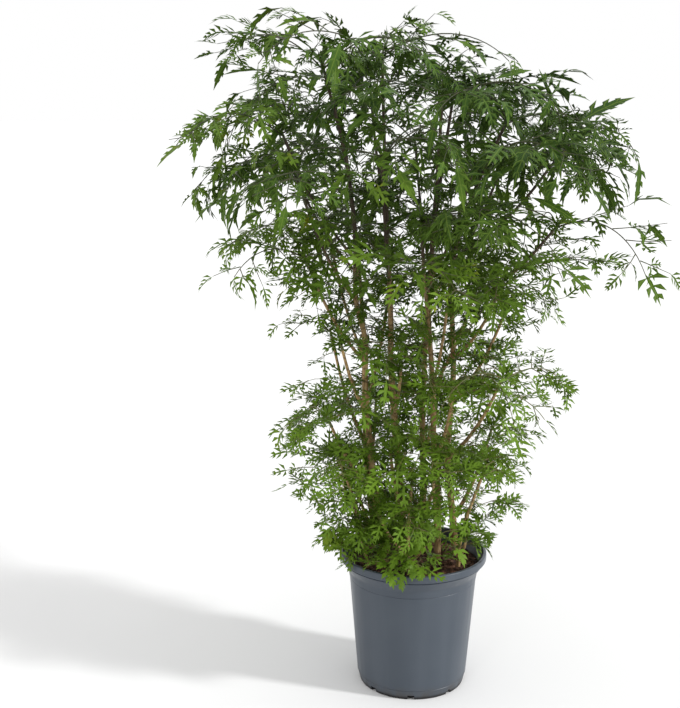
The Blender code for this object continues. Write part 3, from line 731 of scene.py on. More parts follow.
def makeStems(paths):
    tree, bark, total = woodTree(), barkMaterial(), 0
    for name, stem in paths.items():
        trunk, girths = stem[0]
        flared = [(trunk, [girths[0] * wood["flare"]] + girths[1:])]
        label = pieceName("wood", name)
        made = addObject(label, sketchMesh(label, flared + stem[1:]))
        growFrom(made, tree, {"Step": wood["step"], "Sides": wood["sides"], "Ridge": wood["ridge"],
                              "Ring": wood["ring"], "Material": bark})
        made.data.shade_smooth()
        total += dress(made, "bark", "stem_" + name)
    return total


# Leaflets: a slim blade with curved fingers on both sides, in shares of the leaflet's length.
# Pairs of fingers leave the midrib from start to end, shorter and steeper towards the tip.
# Each kind is made several times, bent by a curl, a fold along the midrib and a twist.
leafletKinds = {
    "lance": {
        "scale": 1.25, "pairs": 3, "start": 0.16, "end": 0.62, "angles": (40.0, 24.0),
        "blade": 0.086, "finger": 0.31, "girth": 0.044,
        "bends": ((0.35, 0.25, 0.3), (0.9, 0.32, -0.5), (1.4, 0.20, 0.6)),
    },
    "feather": {
        "scale": 1.0, "pairs": 4, "start": 0.10, "end": 0.66, "angles": (52.0, 26.0),
        "blade": 0.050, "finger": 0.46, "girth": 0.052,
        "bends": ((0.4, 0.20, -0.4), (0.8, 0.30, 0.4), (1.3, 0.15, 0.2)),
    },
    "fine": {
        "scale": 1.0, "pairs": 3, "start": 0.12, "end": 0.60, "angles": (60.0, 30.0),
        "blade": 0.056, "finger": 0.54, "girth": 0.066,
        "bends": ((0.4, 0.25, 0.3), (0.9, 0.35, -0.4), (-0.6, 0.20, 0.3)),
    },
    "broad": {
        "scale": 1.0, "pairs": 3, "start": 0.12, "end": 0.60, "angles": (56.0, 30.0),
        "blade": 0.150, "finger": 0.56, "girth": 0.095,
        "bends": ((0.5, 0.25, 0.2), (0.9, 0.15, -0.3)),
    },
}
leafletRule = {
    "thickness": 0.012, "keel": 0.5, "neckLength": 0.06, "bladeSections": ((0.30, 1.0), (0.66, 0.80)),
    "fingerSection": 0.48, "fingerThickness": 0.9, "hook": 0.11, "shrink": 0.50,
}


def leafletMesh(name, form, curl, fold, twist):
    shape = bmesh.new()
    under = shape.faces.layers.float.new("under")
    uvs = shape.loops.layers.uv.new("leafUv")
    flat = {}

    # A corner at its place on the flat leaflet, twisted and curled down along the midrib
    def put(point, lift, offset):
        along, across = point
        bent = curl * along
        middle = Vector((math.sin(bent) / curl, 0.0, (math.cos(bent) - 1.0) / curl))
        up = Vector((math.sin(bent), 0.0, math.cos(bent)))
        side = Vector((0.0, 1.0, 0.0))
        turn = twist * along
        level = math.cos(turn) * side + math.sin(turn) * up
        raised = math.cos(turn) * up - math.sin(turn) * side
        place = middle + level * across + raised * (lift + fold * abs(across))
        corner = shape.verts.new(form["scale"] * place)
        flat[corner] = (0.5 + offset, along)
        return corner

    def face(corners, below):
        made = shape.faces.new(corners)
        made[under] = 1.0 if below else 0.0
        made.smooth = True
        for loop in made.loops:
            loop[uvs].uv = flat[loop.vert]

    # A closed spindle ridged above, and below too where its rib is deep. Its sections are given
    # as share of the length, half width and bow to the side.
    def spindle(root, heading, length, sections, high, deep):
        level = Vector((-heading.y, heading.x))
        rings = []
        for share, width, bow in sections:
            middle = root + heading * (length * share) + level * bow
            ring = [put(middle - level * width, 0.0, -width), put(middle + level * width, 0.0, width),
                    put(middle, high, 0.0)]
            if deep:
                ring.insert(1, put(middle, -deep, 0.0))
            rings.append(ring)
        foot, tip = put(root, 0.0, 0.0), put(root + heading * length, 0.0, 0.0)
        corners = len(rings[0])
        for i in range(corners):
            j, below = (i + 1) % corners, i < corners - 2
            face([foot, rings[0][j], rings[0][i]], below)
            for near, far in zip(rings, rings[1:]):
                face([near[i], near[j], far[j], far[i]], below)
            face([rings[-1][i], rings[-1][j], tip], below)

    rule, count = leafletRule, form["pairs"]
    thick, neck = rule["thickness"], rule["neckLength"]
    spindle(Vector((-neck, 0.0)), Vector((1.0, 0.0)), 1.0 + neck,
            [(share, width * form["blade"], 0.0) for share, width in rule["bladeSections"]],
            thick, rule["keel"] * thick)
    for i in range(count):
        share = i / (count - 1)
        root = Vector((form["start"] + (form["end"] - form["start"]) * share, 0.0))
        angle = math.radians(form["angles"][0] + (form["angles"][1] - form["angles"][0]) * share)
        length = form["finger"] * (1.0 - rule["shrink"] * share)
        for side in (1.0, -1.0):
            heading = Vector((math.cos(angle), side * math.sin(angle)))
            widest = (rule["fingerSection"], form["girth"], side * rule["hook"] * length)
            spindle(root, heading, length, (widest,), rule["fingerThickness"] * thick, 0.0)
    for edge in shape.edges:
        edge.smooth = len({linked[under] for linked in edge.link_faces}) < 2
    bmesh.ops.triangulate(shape, faces=shape.faces[:])
    mesh = bpy.data.meshes.new(name)
    shape.to_mesh(mesh)
    shape.free()
    return mesh


# The leaflets of every kind, and the numbers of those that belong to each
def leafletShapes(material):
    meshes, numbers = [], {}
    for kind, form in leafletKinds.items():
        numbers[kind] = []
        for curl, fold, twist in form["bends"]:
            numbers[kind].append(len(meshes))
            meshes.append(leafletMesh(f"leaflet{len(meshes):02d}", form, curl, fold, twist))
    return kindsCollection("leafletKinds", meshes, material), numbers


# Fronds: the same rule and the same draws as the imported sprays, so that each fine frond lies
# along a packed blade. Of a frond's tries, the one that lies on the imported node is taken.
frondRule = {
    "gap": 0.0003, "budLength": 0.020, "budLowShare": 0.22, "budUsedShare": 0.62, "budSwell": 1.25,
    "budTaper": 0.55, "stalkHalfWidth": 0.0011, "stalkSink": 0.0006,
    "lowFrond": 0.130, "highFrond": 0.290, "lowLeafHeight": 0.25, "highLeafHeight": 0.80,
    "largeLeafHeight": 0.42, "outwardGain": 0.10, "rachisSteps": 24,
    "length": (0.88, 1.08), "rise": (12.0, 42.0), "fall": (-84.0, -46.0), "bend": (1.2, 1.7),
    "roll": (-38.0, 38.0), "droop": (0.8, 1.7), "pinnaLength": (0.88, 1.10), "pinnaAngle": (-5.0, 5.0),
    "topStart": 0.80, "topHeight": 0.15, "topRise": 26.0, "topRiseSpread": (0.3, 1.2), "topFall": 8.0,
    "tries": 300, "tryShrink": 0.30, "seed": 41, "closeness": 0.0014, "endSlack": (3.0, 0.03),
    "largePinnae": ((0.38, 0.42, 62.0), (0.62, 0.31, 54.0)), "smallPinnae": ((0.42, 0.44, 58.0),),
}


# Pinnae as (share of the rachis, length as a share of the frond's, angle)
def drawPinnae(large, draw):
    drawn = []
    for place, length, angle in frondRule["largePinnae"] if large else frondRule["smallPinnae"]:
        length *= draw.uniform(*frondRule["pinnaLength"])
        drawn.append((place, length, math.radians(angle + draw.uniform(*frondRule["pinnaAngle"]))))
    return drawn


def drawFrond(spray, index, shrink, draw):
    rule, tip = frondRule, spray["tip"]
    outward = math.atan2(tip.y, tip.x)
    fan = math.tau / spray["count"]
    turn = outward + fan * index + draw.uniform(-0.5, 0.5) * fan
    top = unit((tip.z - rule["topStart"]) / rule["topHeight"])
    rise = draw.uniform(*rule["rise"]) + rule["topRise"] * top * draw.uniform(*rule["topRiseSpread"])
    fall = draw.uniform(*rule["fall"]) + rule["topFall"] * top
    gain = 1.0 - rule["outwardGain"] * (1.0 - math.cos(turn - outward))
    length = shrink * gain * spray["length"] * draw.uniform(*rule["length"])
    large = tip.z > rule["largeLeafHeight"]
    upBud = rule["budLowShare"] + rule["budUsedShare"] * (index + 0.5) / spray["count"]
    heading = Vector((math.cos(turn), math.sin(turn), 0.0))
    root = tip + spray["axis"] * (rule["gap"] + rule["budLength"] * upBud) - heading * rule["stalkSink"]
    return {
        "root": root, "heading": heading, "rise": math.radians(rise), "fall": math.radians(fall),
        "bend": draw.uniform(*rule["bend"]), "roll": math.radians(draw.uniform(*rule["roll"])),
        "droop": draw.uniform(*rule["droop"]), "length": length, "large": large,
        "left": drawPinnae(large, draw), "right": drawPinnae(large, draw),
    }


def slopeAt(frond, share):
    return frond["rise"] + (frond["fall"] - frond["rise"]) * share ** frond["bend"]


# A point of the arched frond, at a share of its midline and a width to the side, where it sags
def frondPoint(frond, share, width):
    steps = frondRule["rachisSteps"]
    slopes = [slopeAt(frond, share * (i + 0.5) / steps) for i in range(steps)]
    step = frond["length"] * share / steps
    heading = frond["heading"]
    place = frond["root"] + heading * (step * sum(map(math.cos, slopes)))
    place.z += step * sum(map(math.sin, slopes))
    slope = slopeAt(frond, share)
    across = Vector((-heading.y, heading.x, 0.0))
    up = (math.cos(slope) * heading + math.sin(slope) * upward).cross(across)
    side = math.cos(frond["roll"]) * across + math.sin(frond["roll"]) * up
    out = width * frond["length"]
    return place + side * out - upward * (frond["droop"] * out * out / frond["length"])


# A point of a pinna at a share of its length
def pinnaPoint(frond, pinna, side, share):
    place, length, angle = pinna
    out = length * share
    stalk = frondRule["stalkHalfWidth"] / frond["length"]
    return frondPoint(frond, place + out * math.cos(angle), side * (stalk + out * math.sin(angle)))


def liesOn(frond, node):
    close, (gain, slack) = frondRule["closeness"], frondRule["endSlack"]
    if node.find_nearest(frondPoint(frond, 1.0, 0.0), close)[0] is None:
        return False
    ends = [pinnaPoint(frond, pinna, side, 1.0)
            for side, pinnae in ((1.0, frond["left"]), (-1.0, frond["right"])) for pinna in pinnae]
    reach = gain * close + slack * frond["length"]
    return all(node.find_nearest(end, reach)[0] is not None for end in ends)


def findFronds(spray):
    mesh = frame["nodes"][spray["name"]].data
    node = BVHTree.FromPolygons([v.co for v in mesh.vertices], [p.vertices for p in mesh.polygons])
    found, tries = [], frondRule["tries"]
    for index in range(spray["count"]):
        draw = random.Random(f"{frondRule['seed']} {spray['name']} {index}")
        for attempt in range(tries):
            shrink = 1.0 - frondRule["tryShrink"] * attempt / tries
            frond = drawFrond(spray, index, shrink, draw)
            if liesOn(frond, node):
                found.append(frond)
                break
    return found


# How long a frond grows at a height
def lengthAt(height):
    rule = frondRule
    share = unit((height - rule["lowLeafHeight"]) / (rule["highLeafHeight"] - rule["lowLeafHeight"]))
    return rule["lowFrond"] + (rule["highFrond"] - rule["lowFrond"]) * share


# A stem's packed sprays: one at the tip of its trunk and of each of its limbs
def spraysOf(name, paths):
    sprays = []
    for i, (points, girths) in enumerate(paths):
        tip = points[-1]
        sprays.append({
            "name": f"spray_{name}_{i + 1}", "tip": tip, "axis": (tip - points[-2]).normalized(),
            "girth": girths[-1], "length": lengthAt(tip.z),
            "count": 3 if tip.z > frondRule["largeLeafHeight"] else 2,
        })
    return sprays


# Fine fronds: pairs of pinnae along the rachis, pairs of leaflets along each pinna. Between the
# packed sprays, shorter side fronds stand along the limbs and the upper trunks. Places are shares
# of the rachis or pinna, pairs count the leaflets there, and angles are in degrees.
foliage = {
    "seed": 7, "lowBelow": 0.56,
    "largePlaces": (0.24, 0.38, 0.52, 0.67, 0.82), "largePairs": (2, 2, 2, 1, 1),
    "smallPlaces": (0.26, 0.43, 0.60, 0.78), "smallPairs": (2, 2, 1, 1), "lowPairs": (2, 2, 2, 1),
    "placeSpread": 0.03,
    "tipPinna": (0.10, 40.0), "lastPinna": (0.12, 12.0), "lowestPinna": (-0.6, 0.25),
    "rachisGirth": (0.0015, 0.0006), "smallGirth": 0.62, "rachisTaper": 0.7, "rachisSteps": 12,
    "rachisEnd": 0.92, "bareEnd": 0.14,
    "pinnaGirth": (0.0008, 0.0004), "pinnaSteps": 5, "pinnaEnd": 0.86, "pinnaMiddle": 0.6,
    "lift": (0.0, 0.62), "liftAtEnd": 0.74,
    "leafletShare": 0.52, "smallest": 0.029, "largest": 0.064, "spread": (40.0, 68.0),
    "pairsFrom": 0.28, "pairsOver": 0.56, "pairTaper": 0.28, "pairSizes": (0.82, 1.15),
    "endGain": 1.15, "endSizes": (0.9, 1.1), "tipShare": 0.20, "tilt": (-38.0, 26.0), "rollSpread": 34.0,
    "tone": (0.12, 0.78), "lowTone": (0.50, 0.10), "toneSpread": 0.16,
    "yellowShare": 0.008, "yellowTone": 0.95,
    "kindsBelow": ((0.28, {"broad": 4, "fine": 6}), (0.62, {"fine": 8, "feather": 2}),
                   (0.76, {"fine": 4, "feather": 4, "lance": 2}),
                   (2.00, {"fine": 1, "feather": 4, "lance": 5})),
    # The inner shade is painted shade: it lowers the tint of leaflets deep inside the plant
    "innerReach": (0.07, 0.21), "innerTop": 1.05, "innerFade": 0.10, "paintedInnerShade": 0.50,
    "innerLoss": ((0.62, 0.80), (0.84, 0.55), (2.00, 1.00)),
    "stalkSides": 5, "stalkStep": 0.014, "stalkRing": 0.05,
    "budLeaves": 7, "budLeafSize": (0.022, 0.046), "budSink": 0.002, "budTurn": 0.6,
    "budSpread": (0.5, 1.5), "budTone": 0.75,
    "sideStep": 0.047, "shootStep": 0.021, "sideStart": 0.226, "sideEnd": 0.02, "goldenTurn": 2.4,
    "sidePlaces": (0.2, 0.8), "thinned": ((0.00, 0.58, 0.25), (0.58, 0.78, 0.62), (0.78, 2.00, 0.55)),
    "sideLength": (0.42, 0.72), "sideRise": (5.0, 60.0), "sideFall": (-50.0, 0.0),
    "crownFrom": 0.92, "crownFronds": 1, "crownRoot": 0.6, "crownLength": (0.28, 0.42),
    "crownRise": (30.0, 72.0), "crownFall": (-38.0, 0.0),
    "rimRise": (24.0, 34.0), "rimFall": (-72.0, -58.0),
    "boxMargin": (0.014, 0.014, 0.030), "overTop": 0.016, "lowering": 7.0, "lowerings": 12,
    "potClear": 0.004, "soilClear": 0.006,
}

# Parts that the photograph shows sparse: lowest corner, highest corner, share of pinnae left out
sparseParts = {
    "rightLimbRoot": ((0.14, -1.0, 0.60), (0.27, 1.0, 0.80), 0.70),
    "rightLimbTip": ((0.27, -1.0, 0.68), (0.50, 1.0, 0.78), 0.24),
    "underRightLimb": ((0.24, -1.0, 0.56), (0.50, 1.0, 0.68), 0.92),
    "leftLimb": ((-0.34, -1.0, 0.62), (-0.18, 1.0, 0.81), 0.70),
    "leftWaist": ((-0.32, -1.0, 0.50), (-0.11, 1.0, 0.68), 0.70),
    "crownLeft": ((-0.18, -1.0, 0.86), (0.05, 1.0, 1.05), 0.36),
    "crownLeftBack": ((-0.18, 0.03, 0.86), (0.05, 1.0, 1.05), 0.64),
    "crownRightTop": ((0.05, -1.0, 1.00), (0.40, 1.0, 1.20), 0.68),
    "crownRightSide": ((0.30, -1.0, 0.84), (0.50, 1.0, 1.00), 0.60),
    "middleBack": ((-0.17, 0.02, 0.58), (0.11, 1.0, 0.71), 0.56),
    "middleLow": ((-0.12, -0.2, 0.42), (0.12, 1.0, 0.64), 0.30),
    "rightWaist": ((0.11, -1.0, 0.30), (0.26, 1.0, 0.54), 0.36),
    "rimLeft": ((-0.24, -0.16, 0.19), (-0.11, 0.12, 0.34), 0.70),
    "rimFront": ((-0.13, -0.14, 0.19), (0.02, 0.02, 0.27), 0.52),
    "rimFrontRight": ((0.02, -0.13, 0.19), (0.13, 0.04, 0.30), 0.82),
    "rimRight": ((0.09, -0.20, 0.19), (0.20, 0.20, 0.31), 0.66),
}


# The kinds of leaflet change up the plant: broad ones at the rim, fine ones, then long ones
def kindAt(height, numbers, draw):
    for top, shares in foliage["kindsBelow"]:
        if height < top:
            kind = draw.choices(list(shares), weights=list(shares.values()))[0]
            return draw.choice(numbers[kind])


# How deep a place is inside the plant: one at its axis, none at the inner reach or at the top
def depthInside(place):
    reach = foliage["innerReach"][0] + foliage["innerReach"][1] * place.z
    under = unit((foliage["innerTop"] - place.z) / foliage["innerFade"])
    return under * max(0.0, 1.0 - math.hypot(place.x, place.y) / reach)


# A leaflet leaves its place along direction with its upper face towards up, each turned a little
def addLeaflet(leaflets, place, direction, up, size, tone, numbers, draw):
    tilt = math.radians(draw.uniform(*foliage["tilt"]))
    level = up.cross(direction).normalized()
    direction = (math.cos(tilt) * direction.normalized() + math.sin(tilt) * up.normalized()).normalized()
    roll = math.radians(draw.uniform(-1.0, 1.0) * foliage["rollSpread"])
    raised = Matrix.Rotation(roll, 3, direction) @ direction.cross(level)
    level = raised.cross(direction).normalized()
    raised = direction.cross(level)
    aim = Matrix((direction, level, raised)).transposed().to_quaternion()
    kind = kindAt(place.z, numbers, draw)
    # Painted shade: leaflets deep inside the plant get a lower, darker tint
    tint = tone + draw.uniform(-foliage["toneSpread"], foliage["toneSpread"])
    leaflets.append({"place": place, "aim": aim, "size": size, "kind": kind,
                     "tint": tint - foliage["paintedInnerShade"] * depthInside(place)})


# The upper side of a frond at a share of its rachis
def frondUp(frond, share):
    slope = slopeAt(frond, share)
    return math.cos(slope) * upward - math.sin(slope) * frond["heading"]


# One pinna: its stalk as a path, and its leaflets in pairs and at its end
def addPinna(frond, pinna, side, pairs, tone, paths, leaflets, numbers, draw):
    length, end, steps = pinna[1] * frond["length"], foliage["pinnaEnd"], foliage["pinnaSteps"]
    room = frameBox[1][2] + foliage["overTop"] - pinnaPoint(frond, pinna, side, end).z
    lift = min(draw.uniform(*foliage["lift"]), max(0.0, room / (foliage["liftAtEnd"] * length)))
    if draw.random() < foliage["yellowShare"]:
        tone = foliage["yellowTone"]

    def along(share):
        return pinnaPoint(frond, pinna, side, share) + upward * (lift * length * share * share)

    points = [along(end * i / steps) for i in range(steps + 1)]
    thick, thin = foliage["pinnaGirth"]
    paths.append((points, [thick + (thin - thick) * i / steps for i in range(steps + 1)]))
    base = min(foliage["largest"], max(foliage["smallest"], foliage["leafletShare"] * length))
    up = (frondUp(frond, pinna[0]) + 0.5 * upward).normalized()
    for i in range(pairs):
        share = foliage["pairsFrom"] + foliage["pairsOver"] * i / pairs
        place = along(share)
        forward = (along(share + 0.05) - along(share - 0.05)).normalized()
        for hand in (1.0, -1.0):
            lean = math.radians(draw.uniform(*foliage["spread"]))
            direction = math.cos(lean) * forward + hand * math.sin(lean) * up.cross(forward).normalized()
            size = base * (1.0 - foliage["pairTaper"] * i / pairs) * draw.uniform(*foliage["pairSizes"])
            addLeaflet(leaflets, place, direction, up, size, tone, numbers, draw)
    forward = (points[-1] - points[-2]).normalized()
    size = base * foliage["endGain"] * draw.uniform(*foliage["endSizes"])
    addLeaflet(leaflets, points[-1], forward, up, size, tone, numbers, draw)


# A pinna at any place on the rachis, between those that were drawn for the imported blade. Where
# only one was drawn, a short one at the tip is the other.
def pinnaAt(drawn, place):
    tipLength, tipAngle = foliage["tipPinna"]
    lastLength, lastTurn = foliage["lastPinna"]
    lowest, fade = foliage["lowestPinna"]
    first = drawn[0]
    last = drawn[-1] if len(drawn) > 1 else (1.0, tipLength, math.radians(tipAngle))
    if place >= last[0]:
        first, last = last, (1.0, lastLength, last[2] - math.radians(lastTurn))
    share = max(lowest, (place - first[0]) / (last[0] - first[0]))
    length = first[1] + (last[1] - first[1]) * share
    if share < 0.0:
        length = first[1] * (1.0 + fade * share)
    return place, length, first[2] + (last[2] - first[2]) * share


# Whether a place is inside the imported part's box, or near enough to it
def inFrame(place):
    margins = foliage["boxMargin"]
    return all(low - margin < part < high + margin
               for part, low, high, margin in zip(place, *frameBox, margins))


# Fewer pinnae grow deep inside the plant, and in the parts that the photograph shows sparse
def isBare(place, draw):
    chance = draw.random()
    most = next(share for top, share in foliage["innerLoss"] if place.z < top)
    loss = most * depthInside(place)
    for low, high, share in sparseParts.values():
        if all(a < part < b for a, part, b in zip(low, place, high)):
            loss = max(loss, share)
    return chance < loss


# One frond: its pinnae, and a rachis that stops soon after the last of them
def growFrond(frond, paths, leaflets, numbers, draw):
    lowTop, lowGain = foliage["lowTone"]
    tone = draw.uniform(*foliage["tone"]) + (lowGain if frond["root"].z < lowTop else 0.0)
    size, last, spread = "large" if frond["large"] else "small", 0.0, foliage["placeSpread"]
    low = frond["root"].z < foliage["lowBelow"] and size == "small"
    counts = foliage["lowPairs" if low else size + "Pairs"]
    for place, pairs in zip(foliage[size + "Places"], counts):
        for side, drawn in ((1.0, frond["left"]), (-1.0, frond["right"])):
            pinna = pinnaAt(drawn, place + draw.uniform(-spread, spread))
            bare = isBare(pinnaPoint(frond, pinna, side, foliage["pinnaMiddle"]), draw)
            if not bare and inFrame(pinnaPoint(frond, pinna, side, foliage["pinnaEnd"])):
                addPinna(frond, pinna, side, pairs, tone, paths, leaflets, numbers, draw)
                last = pinna[0]
    end = min(foliage["rachisEnd"], last + foliage["bareEnd"])
    stout = 1.0 if frond["large"] else foliage["smallGirth"]
    thick, thin = (girth * stout for girth in foliage["rachisGirth"])
    steps, taper = foliage["rachisSteps"], foliage["rachisTaper"]
    points = [frondPoint(frond, end * i / steps, 0.0) for i in range(steps + 1)]
    paths.append((points, [thick + (thin - thick) * (i / steps) ** taper for i in range(steps + 1)]))
    forward = (points[-1] - points[-2]).normalized()
    base = min(foliage["largest"], foliage["tipShare"] * frond["length"])
    addLeaflet(leaflets, points[-1], forward, frondUp(frond, end), base, tone, numbers, draw)


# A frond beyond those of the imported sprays, from its own root, direction and spreads
def freeFrond(root, turn, length, rise, fall, draw):
    rule = frondRule
    return {
        "root": root, "heading": Vector((math.cos(turn), math.sin(turn), 0.0)),
        "rise": math.radians(draw.uniform(*rise)), "fall": math.radians(draw.uniform(*fall)),
        "bend": draw.uniform(*rule["bend"]), "roll": math.radians(draw.uniform(*rule["roll"])),
        "droop": draw.uniform(*rule["droop"]), "length": lengthAt(root.z) * draw.uniform(*length),
        "large": False, "left": drawPinnae(False, draw), "right": drawPinnae(False, draw),
    }


# A frond that would leave the frame at its top rises less
def keepUnder(frond):
    limit, steps = frameBox[1][2] + foliage["overTop"], 8
    for _ in range(foliage["lowerings"]):
        if max(frondPoint(frond, i / steps, 0.0).z for i in range(steps + 1)) > limit:
            frond["rise"] -= math.radians(foliage["lowering"])


# Shorter fronds along a trunk or limb, turned by the golden angle up the wood
def sideFronds(points, step, draw):
    found = []
    length = sum((b - a).length for a, b in zip(points, points[1:]))
    count = int(length / step)
    turn = draw.uniform(0.0, math.tau)
    for i in range(count):
        share = (i + draw.uniform(*foliage["sidePlaces"])) / count
        root = pointAlong(points, share)
        turn += foliage["goldenTurn"]
        thinned = any(low < root.z < high and draw.random() < part
                      for low, high, part in foliage["thinned"])
        atEnd = length * (1.0 - share) < foliage["sideEnd"]
        if root.z < foliage["sideStart"] or atEnd or thinned:
            continue
        found.append(freeFrond(root, turn, foliage["sideLength"], foliage["sideRise"],
                               foliage["sideFall"], draw))
    return found


# Short steep fronds that close the crown above its buds
def crownFronds(spray, draw):
    if spray["tip"].z < foliage["crownFrom"]:
        return []
    first, count = draw.uniform(0.0, math.tau), foliage["crownFronds"]
    root = spray["tip"] + spray["axis"] * (foliage["crownRoot"] * frondRule["budLength"])
    return [freeFrond(root, first + math.tau * i / count, foliage["crownLength"],
                      foliage["crownRise"], foliage["crownFall"], draw) for i in range(count)]


# Fronds that lean out over the rim: share of the shoot's trunk, heading in degrees, length
rimFronds = {
    "left_shoot": ((0.20, 205.0, 0.060), (0.30, 165.0, 0.055), (0.12, 235.0, 0.060)),
    "front_shoot": ((0.20, 282.0, 0.095), (0.30, 250.0, 0.070), (0.16, 310.0, 0.070)),
    "right_shoot": ((0.16, 338.0, 0.072), (0.30, 12.0, 0.068)),
}


def leaningFronds(name, trunk, draw):
    found = []
    for share, turn, length in rimFronds.get(name, ()):
        frond = freeFrond(pointAlong(trunk[1:], share), math.radians(turn), (1.0, 1.0),
                          foliage["rimRise"], foliage["rimFall"], draw)
        frond["length"] = length
        found.append(frond)
    return found


# A bud at a spray's tip, and the tuft of young leaflets round it
def addBud(spray, paths, leaflets, numbers, draw):
    tip, axis, steps, sink = spray["tip"], spray["axis"], 4, foliage["budSink"]
    swell, taper = frondRule["budSwell"] * spray["girth"], frondRule["budTaper"]
    points = [tip + axis * (frondRule["budLength"] * i / steps - sink) for i in range(steps + 1)]
    paths.append((points, [swell * (1.0 + (taper - 1.0) * i / steps) for i in range(steps + 1)]))
    for i in range(foliage["budLeaves"]):
        turn = math.tau * i / foliage["budLeaves"] + draw.uniform(0.0, foliage["budTurn"])
        out = Vector((math.cos(turn), math.sin(turn), 0.0))
        direction = (axis + out * draw.uniform(*foliage["budSpread"])).normalized()
        addLeaflet(leaflets, points[-1] - axis * sink * i, direction, upward - 0.5 * out,
                   draw.uniform(*foliage["budLeafSize"]), foliage["budTone"], numbers, draw)


# Leaves that would stand in the pot's wall, under its soil or far outside the frame are left out
def staysClear(drafted):
    end = drafted["place"] + drafted["aim"] @ Vector((drafted["size"], 0.0, 0.0))
    if not inFrame(end):
        return False
    potClear, soilClear = foliage["potClear"], foliage["soilClear"]
    for point in (end, drafted["place"].lerp(end, 0.5)):
        radius = math.hypot(point.x, point.y)
        if point.z < pot["height"] + potClear and radius < pot["rimRadius"] + potClear:
            if point.z < soil["top"] + soilClear or radius > innerRadius(soil["top"]) - soilClear:
                return False
    return True


# Nodes that turn a stem's sketch into stalks, and set a leaflet at every loose point
def frondTree():
    tree, given = newTree("frondTubesAndLeaflets", {
        "Step": "Float", "Sides": "Int", "Ridge": "Float", "Ring": "Float", "Leaflets": "Collection",
        "Stalk Material": "Material", "Leaf Material": "Material"})
    stalks = addNode(tree, "GeometryNodeSetMaterial",
                     {"Geometry": tubeNodes(tree, given), "Material": given["Stalk Material"]})
    smooth = addNode(tree, "GeometryNodeSetShadeSmooth", {"Geometry": stalks.outputs["Geometry"]})
    kinds = addNode(tree, "GeometryNodeCollectionInfo",
                    {"Collection": given["Leaflets"], "Separate Children": True, "Reset Children": True})
    size = namedValue(tree, "size")
    hung = addNode(tree, "GeometryNodeInstanceOnPoints",
                   {"Points": given["Geometry"], "Instance": kinds.outputs["Instances"],
                    "Pick Instance": True, "Instance Index": namedValue(tree, "kind", "INT"),
                    "Rotation": namedValue(tree, "aim", "QUATERNION"), "Scale": size,
                    "Selection": mathNode(tree, "GREATER_THAN", size, 0.001)})
    leaves = addNode(tree, "GeometryNodeRealizeInstances", {"Geometry": hung.outputs["Instances"]})
    painted = addNode(tree, "GeometryNodeSetMaterial",
                      {"Geometry": leaves.outputs["Geometry"], "Material": given["Leaf Material"]})
    joined = addNode(tree, "GeometryNodeJoinGeometry")
    tree.links.new(smooth.outputs["Geometry"], joined.inputs["Geometry"])
    tree.links.new(painted.outputs["Geometry"], joined.inputs["Geometry"])
    closeTree(tree, joined.outputs["Geometry"])
    return tree


# Leaves: yellow-green low down, deep and cool in the crown, with pale ribs and paler backs
leaf = {
    "deep": (0.014, 0.034, 0.002), "middle": (0.040, 0.086, 0.005), "fresh": (0.112, 0.190, 0.012),
    "yellow": (0.280, 0.270, 0.015), "cool": (0.028, 0.074, 0.018), "under": (0.060, 0.105, 0.014),
    "rib": (0.120, 0.180, 0.025), "low": (0.122, 0.225, 0.016),
    "coolHeights": (0.66, 0.98), "coolShare": 0.45, "lowHeights": (0.84, 0.46), "lowShare": 0.78,
    "veinShare": 0.16, "ribShare": 0.55, "underShare": 0.30, "veinSlant": 1.6, "veinTurn": 46.0,
    "mottleScale": 70.0, "roughness": (0.34, 0.46), "underRoughness": 0.22, "gloss": 0.10,
}


def leafMaterial():
    material, tree, shader = newMaterial("leafGreen")
    # The tint carries each frond's random tone and the painted shade deep inside the plant
    tint = addNode(tree, "ShaderNodeAttribute", attribute_name="tint").outputs["Fac"]
    below = addNode(tree, "ShaderNodeAttribute", attribute_name="under").outputs["Fac"]
    uv = addNode(tree, "ShaderNodeUVMap", uv_map="leafUv").outputs["UV"]
    flat = addNode(tree, "ShaderNodeSeparateXYZ", {"Vector": uv})
    across = mathNode(tree, "ABSOLUTE", mathNode(tree, "SUBTRACT", flat.outputs["X"], 0.5))
    rib = rangeOf(tree, across, 0.004, 0.016, 1.0, 0.0)
    back = mathNode(tree, "MULTIPLY", across, leaf["veinSlant"])
    slant = mathNode(tree, "SUBTRACT", flat.outputs["Y"], back)
    wave = mathNode(tree, "COSINE", mathNode(tree, "MULTIPLY", slant, leaf["veinTurn"]))
    veins = mathNode(tree, "POWER", mathNode(tree, "ABSOLUTE", wave), 8.0)
    mottle = objectNoise(tree, leaf["mottleScale"], 3.0)
    shade = mathNode(tree, "ADD", tint, rangeOf(tree, mottle, 0.3, 0.7, -0.14, 0.14))
    colour = colourRamp(tree, shade, [(0.08, leaf["deep"]), (0.45, leaf["middle"]),
                                      (0.88, leaf["fresh"]), (1.0, leaf["yellow"])])
    layers = (
        ("cool", heightShare(tree, *leaf["coolHeights"]), leaf["coolShare"]),
        ("low", heightShare(tree, *leaf["lowHeights"]), leaf["lowShare"]),
        ("rib", veins, leaf["veinShare"]),
        ("rib", rib, leaf["ribShare"]),
        ("under", below, leaf["underShare"]),
    )
    for name, source, share in layers:
        colour = mixColour(tree, mathNode(tree, "MULTIPLY", source, share), colour, leaf[name])
    tree.links.new(colour, shader.inputs["Base Color"])
    rough = mathNode(tree, "ADD", rangeOf(tree, mottle, 0.3, 0.7, *leaf["roughness"]),
                     mathNode(tree, "MULTIPLY", below, leaf["underRoughness"]))
    tree.links.new(rough, shader.inputs["Roughness"])
    shader.inputs["Specular IOR Level"].default_value = leaf["gloss"]
    ridges = mathNode(tree, "ADD", veins, mathNode(tree, "MULTIPLY", rib, 1.5))
    addBump(tree, shader, ridges, 0.35, 0.0004)
    return material
